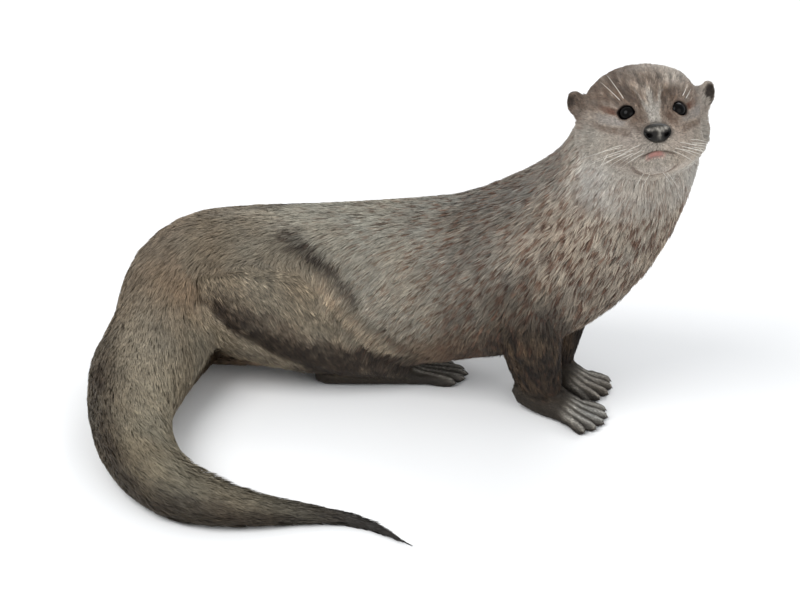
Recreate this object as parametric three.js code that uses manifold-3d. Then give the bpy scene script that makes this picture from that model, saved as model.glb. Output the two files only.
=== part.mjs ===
// A river otter, life size, standing low on four feet with its head turned to its right
// and its tail swept round on the floor. Millimetres, Z up, the floor at z = 0.
// X runs along the trunk towards the head, Y to the animal's left.
// Every outline is that of the coat, out to the tips of its hair.
import * as THREE from "three";
import { LoftGeometry } from "three/addons/geometries/LoftGeometry.js";
import { mergeVertices } from "three/addons/utils/BufferGeometryUtils.js";
import Module from "manifold-3d";

const gap = 0.3; // between neighbouring pieces

// The line of the body from the nape back to the tip of the tail: the centre of each
// section, its half-width, and its height above and below the centre.
const bodySections = [
  { at: [222, -64, 330], wide: 42, up: 34, down: 34 }, // inside the head
  { at: [211, -45, 292], wide: 58, up: 52, down: 52 }, // nape
  { at: [195, -27, 250], wide: 60, up: 58, down: 61 },
  { at: [166, -10, 206], wide: 65, up: 64, down: 75 }, // middle of the neck
  { at: [128, 0, 166], wide: 72, up: 70, down: 85 },
  { at: [86, 4, 134], wide: 75, up: 74, down: 83 }, // shoulders
  { at: [40, 9, 112], wide: 76, up: 76, down: 81 },
  { at: [-6, 11, 98], wide: 76, up: 78, down: 80 }, // last rib
  { at: [-56, 9, 89], wide: 76, up: 78, down: 79 },
  { at: [-106, 4, 82], wide: 77, up: 78, down: 78 }, // loin
  { at: [-156, -5, 78], wide: 78, up: 78, down: 79 },
  { at: [-202, -20, 75], wide: 74, up: 78, down: 77 }, // hips
  { at: [-231, -46, 66], wide: 61, up: 67, down: 68 }, // rump
  { at: [-231, -90, 54], wide: 51, up: 51, down: 53 }, // root of the tail
  { at: [-233, -140, 44], wide: 49, up: 43, down: 45 },
  { at: [-222, -200, 36], wide: 40, up: 38, down: 38 },
  { at: [-190, -258, 29], wide: 34, up: 31, down: 31 },
  { at: [-142, -297, 22], wide: 28, up: 24, down: 24 },
  { at: [-88, -301, 16], wide: 20, up: 17, down: 17.5 },
  { at: [-34, -284, 10], wide: 12, up: 10, down: 11 },
  { at: [12, -274, 6], wide: 6.5, up: 6, down: 6.5 },
  { at: [46, -284, 4], wide: 4, up: 4, down: 4.5 },
  { at: [71, -297, 2.4], wide: 1.6, up: 1.6, down: 2.6 }, // tip
];
// Where each piece starts and ends along that line, in stations.
const bodyPieces = [
  { name: "neck", from: 0, to: 4.2, steps: 7, sides: 24, coat: "back" },
  { name: "chest", from: 4.2, to: 6.6, steps: 6, sides: 24, coat: "back" },
  { name: "loin", from: 6.6, to: 9.6, steps: 6, sides: 24, coat: "back" },
  { name: "hips", from: 9.6, to: 12.6, steps: 8, sides: 24, coat: "back" },
  { name: "tail_root", from: 12.6, to: 14.6, steps: 6, sides: 18, coat: "tail" },
  { name: "tail_middle", from: 14.6, to: 16.6, steps: 6, sides: 18, coat: "tail" },
  { name: "tail_end", from: 16.6, to: 18.6, steps: 6, sides: 14, coat: "tail" },
  { name: "tail_tip", from: 18.6, to: 22, steps: 8, sides: 10, coat: "tailTip" },
];
const besideTheLegs = 6; // how many of them, from the neck back, the limbs grow from

// The head in its own frame: x towards the nose, y to its left, z up, from the middle of
// the line between the ears.
const headPlace = { at: [216, -53, 318], turn: -69, lift: 12, roll: 2.5 };
const headSections = [
  { at: [-57, 0, -8], wide: 24, up: 20, down: 18 }, // back of the skull
  { at: [-44, 0, -8], wide: 45, up: 41, down: 32 },
  { at: [-24, 0, -8], wide: 55, up: 55, down: 37 },
  { at: [-2, 0, -8], wide: 57, up: 57, down: 38 }, // between the ears
  { at: [18, 0, -8], wide: 54, up: 52, down: 37 },
  { at: [34, 0, -8], wide: 48, up: 42, down: 34 }, // eyes
  { at: [47, 0, -8], wide: 41, up: 33, down: 30 },
  { at: [58, 0, -8], wide: 33, up: 26, down: 26 }, // muzzle
  { at: [66, 0, -8], wide: 28, up: 20, down: 22 },
  { at: [71, 0, -8], wide: 20, up: 13, down: 16 },
  { at: [73, 0, -8], wide: 8, up: 6, down: 7 }, // lips
];
// Swellings and hollows of the head: where, how far they push, and how wide they are.
const headRelief = [
  { at: [62, 16, -9], push: [2, 3, 1], reach: 11 }, // whisker pads
  { at: [52, 26, 6], push: [-2, -3, 0], reach: 10 }, // hollow before and below the eye
  { at: [34, 27, 28], push: [1, 1, 2], reach: 10 }, // brow
  { at: [10, 52, -16], push: [0, 4, -2], reach: 24 }, // cheek
  { at: [56, 0, 18], push: [0, 0, -2], reach: 11 }, // bridge of the nose
  { at: [70, 0, -21], push: [-2, 0, 0], reach: 7 }, // under the lip
  { at: [62, 0, -33], push: [2, 0, 0], reach: 9 }, // chin
];
const eye = { at: [43, 22.5, 18], radius: 8.5 };
const ear = { at: [-4, 56, 15], turn: 38, wide: 11, high: 12, thick: 7, hollow: 0.7 };
const nose = { at: [68, 0, 5], deep: 8, wide: 13, high: 9, narrowing: 0.28 };
const nostril = { ahead: 6.4, out: 6.5, down: 1, deep: 3.2, wide: 2.6, high: 2 };

// The limbs of the left side in the frame of the shoulders or hips: x forward, y outward.
// The leg runs down to the paw, and the paw from its heel to the roots of the toes.
const forelimb = {
  name: "fore",
  at: [110, -2, 0],
  turn: -14,
  leg: [
    { at: [10, 24, 150], wide: 22, deep: 26 }, // inside the shoulder
    { at: [13, 40, 118], wide: 29, deep: 32 },
    { at: [16, 43, 84], wide: 27, deep: 30 }, // elbow
    { at: [17, 36, 54], wide: 22, deep: 26 },
    { at: [19, 30, 32], wide: 18, deep: 22 },
    { at: [26, 28, 14], wide: 13, deep: 12 }, // wrist
  ],
  paw: [
    { at: [-4, 28, 28], wide: 12, up: 13, down: 15 }, // heel
    { at: [8, 28, 25], wide: 17, up: 18, down: 24 },
    { at: [28, 27, 15], wide: 17, up: 14, down: 18 },
    { at: [48, 26, 9], wide: 19, up: 9.5, down: 11 },
    { at: [62, 26, 6], wide: 18, up: 5, down: 8 },
  ],
  toes: { root: [47, 26, 6], length: 36, fan: 10, spread: 7, radius: 5.2 },
};
const hindlimb = {
  name: "hind",
  at: [-160, 0, 0],
  turn: 14,
  leg: [
    { at: [-72, 24, 70], wide: 24, deep: 34 }, // inside the hip
    { at: [-34, 40, 84], wide: 38, deep: 50 },
    { at: [18, 52, 80], wide: 36, deep: 54 }, // thigh
    { at: [68, 56, 62], wide: 31, deep: 46 },
    { at: [110, 55, 42], wide: 24, deep: 31 }, // knee
    { at: [142, 50, 22], wide: 17, deep: 16 },
  ],
  paw: [
    { at: [54, 52, 16], wide: 12, up: 12, down: 13 }, // heel
    { at: [68, 52, 16], wide: 16, up: 15, down: 18 },
    { at: [104, 50, 14], wide: 16, up: 14, down: 16.5 },
    { at: [138, 47, 9.5], wide: 17, up: 10, down: 12 },
    { at: [162, 45, 6.5], wide: 17, up: 6, down: 8.5 },
  ],
  toes: { root: [144, 46, 6], length: 56, fan: 3, turn: -4, spread: 6.8, radius: 5.4 },
};
const legs = [
  { limb: forelimb, side: 1, hand: "left", stride: -14, splay: 0 },
  { limb: forelimb, side: -1, hand: "right", stride: 7, splay: 0 },
  { limb: hindlimb, side: 1, hand: "left", stride: -14, splay: 0 },
  { limb: hindlimb, side: -1, hand: "right", stride: 0, splay: 14 },
];
const toeReach = [0.8, 0.95, 1, 0.94, 0.78]; // from the outer toe to the inner
// A toe along its length: how far along, the height of its middle, and its thickness.
const toeLine = [
  { along: 0, z: 6, thick: 0.95 },
  { along: 0.35, z: 7.8, thick: 1 }, // knuckle
  { along: 0.7, z: 5, thick: 1 },
  { along: 0.92, z: 3.6, thick: 0.85 }, // pad
  { along: 1, z: 3.6, thick: 0.4 },
];
// A claw from its root inside the toe to its point.
const clawLine = [
  { along: -0.5, z: 5.2, thick: 1 },
  { along: 0, z: 4.2, thick: 0.85 },
  { along: 0.35, z: 2.6, thick: 0.25 },
];
const claw = { length: 11, radius: 1.8 };

const squareness = 0.92; // 1 would make every section a true ellipse
const bendReach = 1.5; // stations to each side that set the way a section faces

const wasm = await Module();
wasm.setup();

const yAxis = new THREE.Vector3(0, 1, 0);
const zAxis = new THREE.Vector3(0, 0, 1);
const vector = (at) => new THREE.Vector3(...at);
const radians = THREE.MathUtils.degToRad;

function solidOf(geometry) {
  const bare = new THREE.BufferGeometry().copy(geometry);
  bare.deleteAttribute("normal");
  bare.deleteAttribute("uv");
  const merged = mergeVertices(bare, 1e-3);
  const vertProperties = merged.attributes.position.array;
  const triVerts = new Uint32Array(merged.index.array);
  return new wasm.Manifold(new wasm.Mesh({ numProp: 3, vertProperties, triVerts }));
}

function geometryOf(solid) {
  const { numProp, vertProperties, triVerts } = solid.getMesh();
  const positions = new Float32Array((vertProperties.length / numProp) * 3);
  for (let i = 0; i < positions.length / 3; i++) {
    positions.set(vertProperties.subarray(i * numProp, i * numProp + 3), i * 3);
  }
  const geometry = new THREE.BufferGeometry();
  geometry.setAttribute("position", new THREE.BufferAttribute(positions, 3));
  geometry.setIndex(new THREE.BufferAttribute(new Uint32Array(triVerts), 1));
  geometry.computeVertexNormals();
  return geometry;
}

// The same solid seen from inside a group, or from outside it.
function moved(solid, matrix) {
  return solidOf(geometryOf(solid).applyMatrix4(matrix));
}

function join(solids) {
  return solids.reduce((all, next) => all.add(next));
}

function largest(solid) {
  return solid.decompose().sort((a, b) => b.volume() - a.volume())[0];
}

// An ellipse a little squared off, turning from the sideways axis to the upward one.
function ring(centre, sideways, upward, size, sides) {
  const points = [];
  for (let i = 0; i < sides; i++) {
    const angle = (i / sides) * 2 * Math.PI;
    const c = Math.cos(angle);
    const s = Math.sin(angle);
    const out = Math.sign(c) * Math.abs(c) ** squareness * size.wide;
    const rise = Math.sign(s) * Math.abs(s) ** squareness * (s > 0 ? size.up : size.down);
    points.push(centre.clone().addScaledVector(sideways, out).addScaledVector(upward, rise));
  }
  return points;
}

// Rings along the smooth line through some stations, which hold a centre and its sizes.
// They stand level along the body, and keep to one sideways axis in a limb or the head.
// A ring faces along the stretch of line round it, so a sharp bend doesn't fold.
function ringsAlong(stations, { from = 0, to, steps, sides, across, trim = gap / 2 }) {
  const last = stations.length - 1;
  const end = to ?? last;
  const centres = new THREE.CatmullRomCurve3(stations.map((s) => vector(s.at)));
  const sizes = new THREE.CatmullRomCurve3(
    stations.map((s) => new THREE.Vector3(s.wide, s.up ?? s.deep, s.down ?? s.deep)),
  );
  centres.curveType = "catmullrom";
  sizes.curveType = "catmullrom";
  const rings = [];
  for (let i = 0; i <= steps; i++) {
    const place = from + ((end - from) * i) / steps;
    const share = place / last;
    const centre = centres.getPoint(share);
    const before = centres.getPoint(Math.max(0, place - bendReach) / last);
    const after = centres.getPoint(Math.min(last, place + bendReach) / last);
    const heading = after.sub(before).normalize();
    const size = sizes.getPoint(share);
    if (i === 0 && from > 0) centre.addScaledVector(heading, trim);
    if (i === steps && end < last) centre.addScaledVector(heading, -trim);
    const sideways = across
      ? across.clone().addScaledVector(heading, -across.dot(heading)).normalize()
      : new THREE.Vector3().crossVectors(zAxis, heading).normalize();
    const upward = new THREE.Vector3().crossVectors(heading, sideways);
    const reach = { wide: size.x, up: size.y, down: size.z };
    rings.push(ring(centre, sideways, upward, reach, sides));
  }
  return rings;
}

// What would sink below the floor rests flat on it.
function loftOnFloor(rings) {
  for (const points of rings) {
    for (const point of points) point.z = Math.max(point.z, 0);
  }
  return new LoftGeometry(rings, { closed: true, capStart: true, capEnd: true });
}

function grown(stations, by) {
  return stations.map((s) => ({
    at: s.at,
    wide: s.wide + by,
    up: (s.up ?? s.deep) + by,
    down: (s.down ?? s.deep) + by,
  }));
}

// A form seen from its own middle, larger by the gap all round.
function clearanceOf(geometry) {
  const box = new THREE.Box3().setFromBufferAttribute(geometry.attributes.position);
  const middle = box.getCenter(new THREE.Vector3());
  const size = box.getSize(new THREE.Vector3());
  const scale = 1 + (2.4 * gap) / Math.min(size.x, size.y, size.z);
  const larger = new THREE.BufferGeometry().copy(geometry);
  larger.translate(-middle.x, -middle.y, -middle.z);
  return solidOf(larger.scale(scale, scale, scale).translate(middle.x, middle.y, middle.z));
}

const coats = {
  back: { color: 0x7f7b71, roughness: 0.85 },
  tail: { color: 0x7b7262, roughness: 0.85 },
  tailTip: { color: 0x48403a, roughness: 0.85 },
  face: { color: 0x8a8178, roughness: 0.8 },
  ear: { color: 0x5a4f46, roughness: 0.8 },
  leg: { color: 0x40382f, roughness: 0.8 },
  paw: { color: 0x3a3733, roughness: 0.6 },
  eye: { color: 0x1e1e19, roughness: 0.05 },
  nose: { color: 0x33302e, roughness: 0.35 },
  claw: { color: 0x4c4740, roughness: 0.4 },
};
function named(name, solid, coat) {
  const material = new THREE.MeshStandardMaterial({ metalness: 0, ...coats[coat] });
  const mesh = new THREE.Mesh(geometryOf(solid), material);
  mesh.name = name;
  return mesh;
}

// ---- the body, from the neck to the tip of the tail ----

function bodyForm(piece, larger = 0, trim = gap / 2) {
  return solidOf(loftOnFloor(ringsAlong(grown(bodySections, larger), { ...piece, trim })));
}
// The room that the trunk takes from the limbs, where its pieces run into each other.
const trunkPieces = bodyPieces.slice(0, besideTheLegs);
const trunkClearance = join(trunkPieces.map((piece) => bodyForm(piece, gap, -4 * gap)));

// ---- the head ----

const headFrame = new THREE.Group();
headFrame.position.set(...headPlace.at);
headFrame.rotation.order = "ZYX";
headFrame.rotation.set(
  radians(headPlace.roll),
  radians(-headPlace.lift),
  radians(headPlace.turn),
);
headFrame.updateMatrix();

function headGeometry() {
  const rings = ringsAlong(headSections, { steps: 16, sides: 26, across: yAxis });
  for (const points of rings) {
    for (const point of points) {
      const start = point.clone();
      for (const { at, push, reach } of headRelief) {
        for (const side of at[1] ? [1, -1] : [1]) {
          const away = start.distanceTo(new THREE.Vector3(at[0], at[1] * side, at[2]));
          const share = Math.exp(-((away / reach) ** 2));
          point.add(new THREE.Vector3(push[0], push[1] * side, push[2]).multiplyScalar(share));
        }
      }
    }
  }
  return new LoftGeometry(rings, { closed: true, capStart: true, capEnd: true });
}

function ball(at, x, y, z, around = 10) {
  const form = new THREE.SphereGeometry(1, around, around * 0.6).rotateX(Math.PI / 2);
  return form.scale(x, y, z).translate(...at);
}

function eyeForm(side, radius) {
  return solidOf(ball([eye.at[0], eye.at[1] * side, eye.at[2]], radius, radius, radius, 12));
}

// A round cup, open forwards and outwards.
function earForm(side) {
  const cup = ball([0, 0, 0], ear.thick, ear.wide, ear.high);
  const hollow = ball([ear.thick * 0.85, 0, 1], ear.thick * 0.9, ear.wide * ear.hollow,
    ear.high * ear.hollow);
  const place = new THREE.Matrix4()
    .makeRotationZ(radians(ear.turn * side))
    .setPosition(ear.at[0], ear.at[1] * side, ear.at[2]);
  return solidOf(cup.applyMatrix4(place)).subtract(solidOf(hollow.applyMatrix4(place)));
}

// A pad, broad above and narrow below, with a nostril to each side.
function noseForm() {
  const pad = ball(nose.at, nose.deep, nose.wide, nose.high);
  const positions = pad.attributes.position;
  for (let i = 0; i < positions.count; i++) {
    const drop = (nose.at[2] - positions.getZ(i)) / nose.high;
    positions.setY(i, positions.getY(i) * (1 - nose.narrowing * Math.max(drop, 0)));
  }
  let form = solidOf(pad);
  for (const side of [1, -1]) {
    const at = [nose.at[0] + nostril.ahead, side * nostril.out, nose.at[2] - nostril.down];
    form = form.subtract(solidOf(ball(at, nostril.deep, nostril.wide, nostril.high, 6)));
  }
  return form;
}

const headRaw = solidOf(headGeometry());
const noseSolid = noseForm();
const eyeSockets = join([1, -1].map((side) => eyeForm(side, eye.radius + gap)));
const noseSocket = clearanceOf(ball(nose.at, nose.deep, nose.wide, nose.high));
const headSolid = headRaw.subtract(eyeSockets).subtract(noseSocket);
const headClearance = clearanceOf(headGeometry());
headFrame.add(named("head", largest(headSolid), "face"));
headFrame.add(named("nose", noseSolid, "nose"));
for (const [hand, side] of [["left", 1], ["right", -1]]) {
  headFrame.add(named("eye_" + hand, eyeForm(side, eye.radius), "eye"));
  headFrame.add(named("ear_" + hand, largest(earForm(side).subtract(headClearance)), "ear"));
}

// ---- the limbs ----

// A limb's stations on one side of the animal: the stride swings its foot forward, and
// the splay sets its upper end out from the trunk.
function stationsOf(stations, { side, stride, splay }, height) {
  return stations.map((s) => {
    const [x, y, z] = s.at;
    const share = z / height;
    return { ...s, at: [x + stride * (1 - share), (y + splay * share) * side, z] };
  });
}

function limbForm(stations, steps, sides) {
  return solidOf(loftOnFloor(ringsAlong(stations, { steps, sides, across: yAxis })));
}

// The stations of a toe or a claw, from a start along the way the toe points.
function digitStations(line, toe, start, { length, radius }, larger) {
  return line.map(({ along, z, thick }) => {
    const at = start.clone().addScaledVector(toe.heading, along * length);
    const size = radius * thick + larger;
    return { at: [at.x, at.y, z], wide: size, deep: size };
  });
}

function toeForm(toe, larger = 0) {
  const across = new THREE.Vector3().crossVectors(zAxis, toe.heading);
  const stations = digitStations(toeLine, toe, toe.root, toe, larger);
  return solidOf(loftOnFloor(ringsAlong(stations, { steps: 4, sides: 6, across })));
}

function clawForm(toe, larger = 0) {
  const across = new THREE.Vector3().crossVectors(zAxis, toe.heading);
  const stations = digitStations(clawLine, toe, toe.tip, claw, larger);
  return solidOf(loftOnFloor(ringsAlong(stations, { steps: 2, sides: 5, across })));
}

function toesOf({ toes }, side, stride) {
  return toeReach.map((share, i) => {
    const offset = i - 2;
    const root = vector(toes.root);
    root.x += stride;
    root.y = (root.y - offset * toes.spread) * side;
    const turn = (radians(toes.turn ?? 0) - radians(toes.fan) * offset) * side;
    const heading = new THREE.Vector3(Math.cos(turn), Math.sin(turn), 0);
    const length = toes.length * share;
    const tip = root.clone().addScaledVector(heading, length);
    return { root, heading, length, tip, radius: toes.radius };
  });
}

function limbPieces(place) {
  const { limb, side, hand, stride } = place;
  const frame = new THREE.Group();
  frame.position.set(...limb.at);
  frame.rotation.z = radians(limb.turn);
  frame.updateMatrix();
  const trunk = moved(trunkClearance, frame.matrix.clone().invert());
  const height = limb.leg[0].at[2];
  const legStations = stationsOf(limb.leg, place, height);
  const pawStations = stationsOf(limb.paw, place, height);
  const toes = toesOf(limb, side, stride);
  const pawForm = (larger) => {
    const palm = limbForm(grown(pawStations, larger), 5, 10);
    return join([palm, ...toes.map((toe) => toeForm(toe, larger))]);
  };
  const paw = toes.reduce((form, toe) => form.subtract(clawForm(toe, gap)), pawForm(0));
  const leg = limbForm(legStations, 7, 12).subtract(trunk).subtract(pawForm(gap));
  const base = limb.name + "_" + hand;
  frame.add(named("leg_" + base, largest(leg), "leg"));
  frame.add(named("paw_" + base, largest(paw.subtract(trunk)), "paw"));
  toes.forEach((toe, i) => {
    frame.add(named(`claw_${base}_${i + 1}`, clawForm(toe), "claw"));
  });
  return frame;
}

// ---- the whole animal ----

const otter = new THREE.Group();
otter.add(headFrame);
const headInBody = moved(headClearance, headFrame.matrix);
for (const piece of bodyPieces) {
  const form = bodyForm(piece);
  const solid = piece.name === "neck" ? form.subtract(headInBody) : form;
  otter.add(named(piece.name, largest(solid), piece.coat));
}
for (const leg of legs) otter.add(limbPieces(leg));

// The origin is under the middle of the whole animal, on the floor.
const extent = new THREE.Box3().setFromObject(otter, true);
const middle = extent.getCenter(new THREE.Vector3());
otter.position.set(-middle.x, -middle.y, -extent.min.z);

export default otter;
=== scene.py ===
import math

import bmesh
import bpy
import numpy as np
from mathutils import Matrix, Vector, kdtree
from mathutils.bvhtree import BVHTree


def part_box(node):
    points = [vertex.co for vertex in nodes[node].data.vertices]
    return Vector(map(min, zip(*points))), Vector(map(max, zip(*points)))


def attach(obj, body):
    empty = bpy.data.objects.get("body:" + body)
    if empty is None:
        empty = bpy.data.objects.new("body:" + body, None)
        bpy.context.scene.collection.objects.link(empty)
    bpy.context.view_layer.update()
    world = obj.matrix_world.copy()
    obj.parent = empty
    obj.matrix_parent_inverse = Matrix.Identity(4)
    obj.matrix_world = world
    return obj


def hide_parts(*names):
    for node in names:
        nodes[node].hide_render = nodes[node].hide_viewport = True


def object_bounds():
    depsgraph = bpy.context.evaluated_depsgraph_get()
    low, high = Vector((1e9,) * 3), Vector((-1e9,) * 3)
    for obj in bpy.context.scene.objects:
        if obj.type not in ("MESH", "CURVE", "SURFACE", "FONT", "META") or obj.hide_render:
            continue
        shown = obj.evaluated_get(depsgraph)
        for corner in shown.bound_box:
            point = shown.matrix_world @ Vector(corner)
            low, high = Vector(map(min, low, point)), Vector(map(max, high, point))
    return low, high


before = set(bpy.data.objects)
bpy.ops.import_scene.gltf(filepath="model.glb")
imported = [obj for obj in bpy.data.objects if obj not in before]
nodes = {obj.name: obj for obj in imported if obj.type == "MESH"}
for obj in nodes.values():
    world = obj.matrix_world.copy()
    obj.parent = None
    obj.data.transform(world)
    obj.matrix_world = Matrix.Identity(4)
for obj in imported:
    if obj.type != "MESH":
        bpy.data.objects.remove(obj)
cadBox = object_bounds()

mm = 0.001


cameraSettings = {
    "turn": 16,  # degrees round the model, from straight in front of its right side
    "lift": 28,  # degrees above the floor
    "away": 2.4,  # metres
    "lens": 116.6,
    "aim": (0.51, 0.583, 0.328),  # shares of the model's box
}


def makeCamera(s):
    low, high = cadBox
    aim = Vector([low[i] + s["aim"][i] * (high[i] - low[i]) for i in range(3)])
    turn, lift = math.radians(s["turn"]), math.radians(s["lift"])
    back = Vector((
        math.sin(turn) * math.cos(lift),
        -math.cos(turn) * math.cos(lift),
        math.sin(lift),
    ))
    camera = bpy.data.objects.new("camera", bpy.data.cameras.new("camera"))
    camera.data.lens = s["lens"]
    camera.location = aim + back * s["away"]
    camera.rotation_mode = "QUATERNION"
    camera.rotation_quaternion = (-back).to_track_quat("-Z", "Y")
    bpy.context.scene.collection.objects.link(camera)
    bpy.context.scene.camera = camera


lightSettings = {
    "sky": (0.93, 0.96, 1.0),
    "skyStrength": 0.7,
    "lamps": {  # place round the model, size and power
        "key": {"at": (-1.1, -1.5, 2.3), "size": 2.0, "power": 56},
        "fill": {"at": (2.2, -1.6, 1.4), "size": 2.4, "power": 24},
        "back": {"at": (0.4, 2.2, 2.0), "size": 1.8, "power": 26},
    },
    "floorColour": (0.9, 0.9, 0.895),
    "floorRoughness": 0.8,
    "floorSize": 14,
}


def makeStudio(s):
    scene = bpy.context.scene
    scene.view_settings.view_transform = "Standard"
    world = bpy.data.worlds.new("studio")
    scene.world = world
    world.use_nodes = True
    sky = world.node_tree.nodes["Background"]
    sky.inputs["Color"].default_value = (*s["sky"], 1)
    sky.inputs["Strength"].default_value = s["skyStrength"]
    for name, lamp in s["lamps"].items():
        data = bpy.data.lights.new(name, "AREA")
        data.shape = "DISK"
        data.size = lamp["size"]
        data.energy = lamp["power"]
        light = bpy.data.objects.new(name, data)
        light.location = lamp["at"]
        light.rotation_euler = (-light.location).to_track_quat("-Z", "Y").to_euler()
        scene.collection.objects.link(light)
    bpy.ops.mesh.primitive_plane_add(size=s["floorSize"])
    floor = bpy.context.object
    floor.name = "floor"
    paint = bpy.data.materials.new("floorPaint")
    paint.use_nodes = True
    shader = paint.node_tree.nodes["Principled BSDF"]
    shader.inputs["Base Color"].default_value = (*s["floorColour"], 1)
    shader.inputs["Roughness"].default_value = s["floorRoughness"]
    floor.data.materials.append(paint)


makeCamera(cameraSettings)
makeStudio(lightSettings)
print("camera and studio made")


def smooth(low, high, value):
    share = np.clip((value - low) / (high - low), 0, 1)
    return share * share * (3 - 2 * share)


def bell(value, size, power=2):
    # 1 where the value is 0, falling off over the size on both sides
    return np.exp(-((value / size) ** power))


def unit(v):
    return v / np.maximum(np.linalg.norm(v, axis=-1, keepdims=True), 1e-12)


def middle(name):
    low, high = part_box(name)
    return np.array((low + high) / 2)


def corners(name):
    return [np.array(corner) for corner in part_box(name)]


def linear(colour):
    # screen values from 0 to 255 as the linear ones that shaders take
    share = np.asarray(colour, float) / 255
    return np.where(share <= 0.04045, share / 12.92, ((share + 0.055) / 1.055) ** 2.4)


def mixed(base, colour, share):
    share = share[:, None]
    return base * (1 - share) + np.array(colour, float) * share


def plain(colour, count):
    return np.zeros((count, 3)) + colour


def bumps(points, size, seed, octaves=3):
    # soft random waves over the points, about -1 to 1, with no lattice to show through
    dice = np.random.default_rng(seed)
    total = np.zeros(len(points))
    waves = 5
    for octave in range(octaves):
        way = unit(dice.normal(size=(waves, 3)))
        rate = 2 * math.pi / (size / 1.9 ** octave) * dice.uniform(0.7, 1.3, waves)
        shift = dice.uniform(0, 2 * math.pi, waves)
        total += np.sin(points @ (way * rate[:, None]).T + shift).sum(1) / waves / 1.6 ** octave
    return total


def meshArrays(mesh):
    points = np.empty(len(mesh.vertices) * 3, np.float32)
    mesh.vertices.foreach_get("co", points)
    mesh.calc_loop_triangles()
    faces = np.empty(len(mesh.loop_triangles) * 3, np.int32)
    mesh.loop_triangles.foreach_get("vertices", faces)
    return points.reshape(-1, 3).astype(float), faces.reshape(-1, 3)


def meshOf(name, points, faces):
    mesh = bpy.data.meshes.new(name)
    mesh.vertices.add(len(points))
    mesh.vertices.foreach_set("co", np.asarray(points, np.float32).ravel())
    mesh.loops.add(len(faces) * 3)
    mesh.loops.foreach_set("vertex_index", np.asarray(faces, np.int32).ravel())
    mesh.polygons.add(len(faces))
    mesh.polygons.foreach_set("loop_start", np.arange(len(faces), dtype=np.int32) * 3)
    mesh.polygons.foreach_set("use_smooth", np.ones(len(faces), bool))
    mesh.update(calc_edges=True)
    return mesh


def newObject(name, mesh):
    made = bpy.data.objects.new(name, mesh)
    bpy.context.scene.collection.objects.link(made)
    return made


def pointColours(mesh, colours):
    layer = mesh.attributes.new("coatColour", "FLOAT_COLOR", "POINT")
    rgba = np.ones((len(colours), 4), np.float32)
    rgba[:, :3] = linear(colours)
    layer.data.foreach_set("color", rgba.ravel())


def evaluated(made):
    # the mesh of an object with its modifiers applied, in its place
    graph = bpy.context.evaluated_depsgraph_get()
    mesh = bpy.data.meshes.new_from_object(made.evaluated_get(graph))
    made.modifiers.clear()
    old = made.data
    made.data = mesh
    bpy.data.meshes.remove(old)
    return mesh


headSettings = {  # in the head's own frame: forward, to its left and up
    "eyeAt": (43 * mm, 21.8 * mm, 18 * mm),
    "noseAt": (68 * mm, 0, 5 * mm),
    "reach": 90 * mm,  # how far from its middle the head goes
}


def headFrame(s):
    eyes = [middle("eye_left"), middle("eye_right")]
    left = unit(eyes[0] - eyes[1])
    between = (eyes[0] + eyes[1]) / 2
    toNose = middle("nose") - between
    toNose = unit(toNose - left * (toNose @ left))
    drop = math.atan2(s["eyeAt"][2] - s["noseAt"][2], s["noseAt"][0] - s["eyeAt"][0])
    side = np.cross(left, toNose)  # straight down from the line to the nose
    forward = toNose * math.cos(drop) - side * math.sin(drop)
    up = np.cross(forward, left)
    start = between - forward * s["eyeAt"][0] - up * s["eyeAt"][2]
    return start, np.array([forward, left, up])


headStart, headAxes = headFrame(headSettings)


def inHead(points):
    return (points - headStart) @ headAxes.T


def fromHead(points):
    return np.asarray(points) @ headAxes + headStart


limbs = ["fore_left", "fore_right", "hind_left", "hind_right"]
flesh = {  # the nodes of each kind of flesh
    "head": ["head"],
    "ear": ["ear_left", "ear_right"],
    "trunk": ["neck", "chest", "loin", "hips"],
    "tail": ["tail_root", "tail_middle", "tail_end", "tail_tip"],
    "leg": ["leg_" + limb for limb in limbs],
    "paw": ["paw_" + limb for limb in limbs],
}
kinds = list(flesh)
kindOf = {name: kind for kind, names in flesh.items() for name in names}
fleshNodes = list(kindOf)


def shareOf(kind, weights):
    return weights[:, kinds.index(kind)]


def perKind(weights, table):
    return weights @ np.array([table[kind] for kind in kinds], float)


def nodePoints(name):
    return meshArrays(nodes[name].data)[0]


def bodyLine():
    # from the middle of the head back to the tip of the tail: the middle of each piece
    # and of each joint between two pieces
    names = flesh["trunk"] + flesh["tail"]
    pieces = [nodePoints(name) for name in names]
    line = [headStart]
    joints = {}
    for i, piece in enumerate(pieces):
        if i:
            apart = np.linalg.norm(pieces[i - 1][:, None] - piece[None], axis=2)
            ring = piece[apart.min(0) < 2 * mm]
            line.append((ring.min(0) + ring.max(0)) / 2)
            joints[names[i]] = line[-1]
        if i < len(pieces) - 1:
            line.append((piece.min(0) + piece.max(0)) / 2)
    tip = pieces[-1][np.linalg.norm(pieces[-1] - line[-1], axis=1).argmax()]
    line.append(tip)
    line = np.array(line)
    for _ in range(4):  # cut the corners until the line is smooth
        inner = np.repeat(line, 2, axis=0)[1:-1]
        inner[0::2] = line[:-1] * 0.75 + line[1:] * 0.25
        inner[1::2] = line[:-1] * 0.25 + line[1:] * 0.75
        line = np.vstack([line[:1], inner, line[-1:]])
    along = np.concatenate([[0], np.cumsum(np.linalg.norm(np.diff(line, axis=0), axis=1))])
    starts = {}
    for name, joint in joints.items():
        starts[name] = along[np.linalg.norm(line - joint, axis=1).argmin()]
    return line, along, starts


bodyPoints, bodyAlong, bodyStarts = bodyLine()
bodyWays = unit(np.gradient(bodyPoints, axis=0))
print("body line %.3f m long" % bodyAlong[-1])


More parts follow.
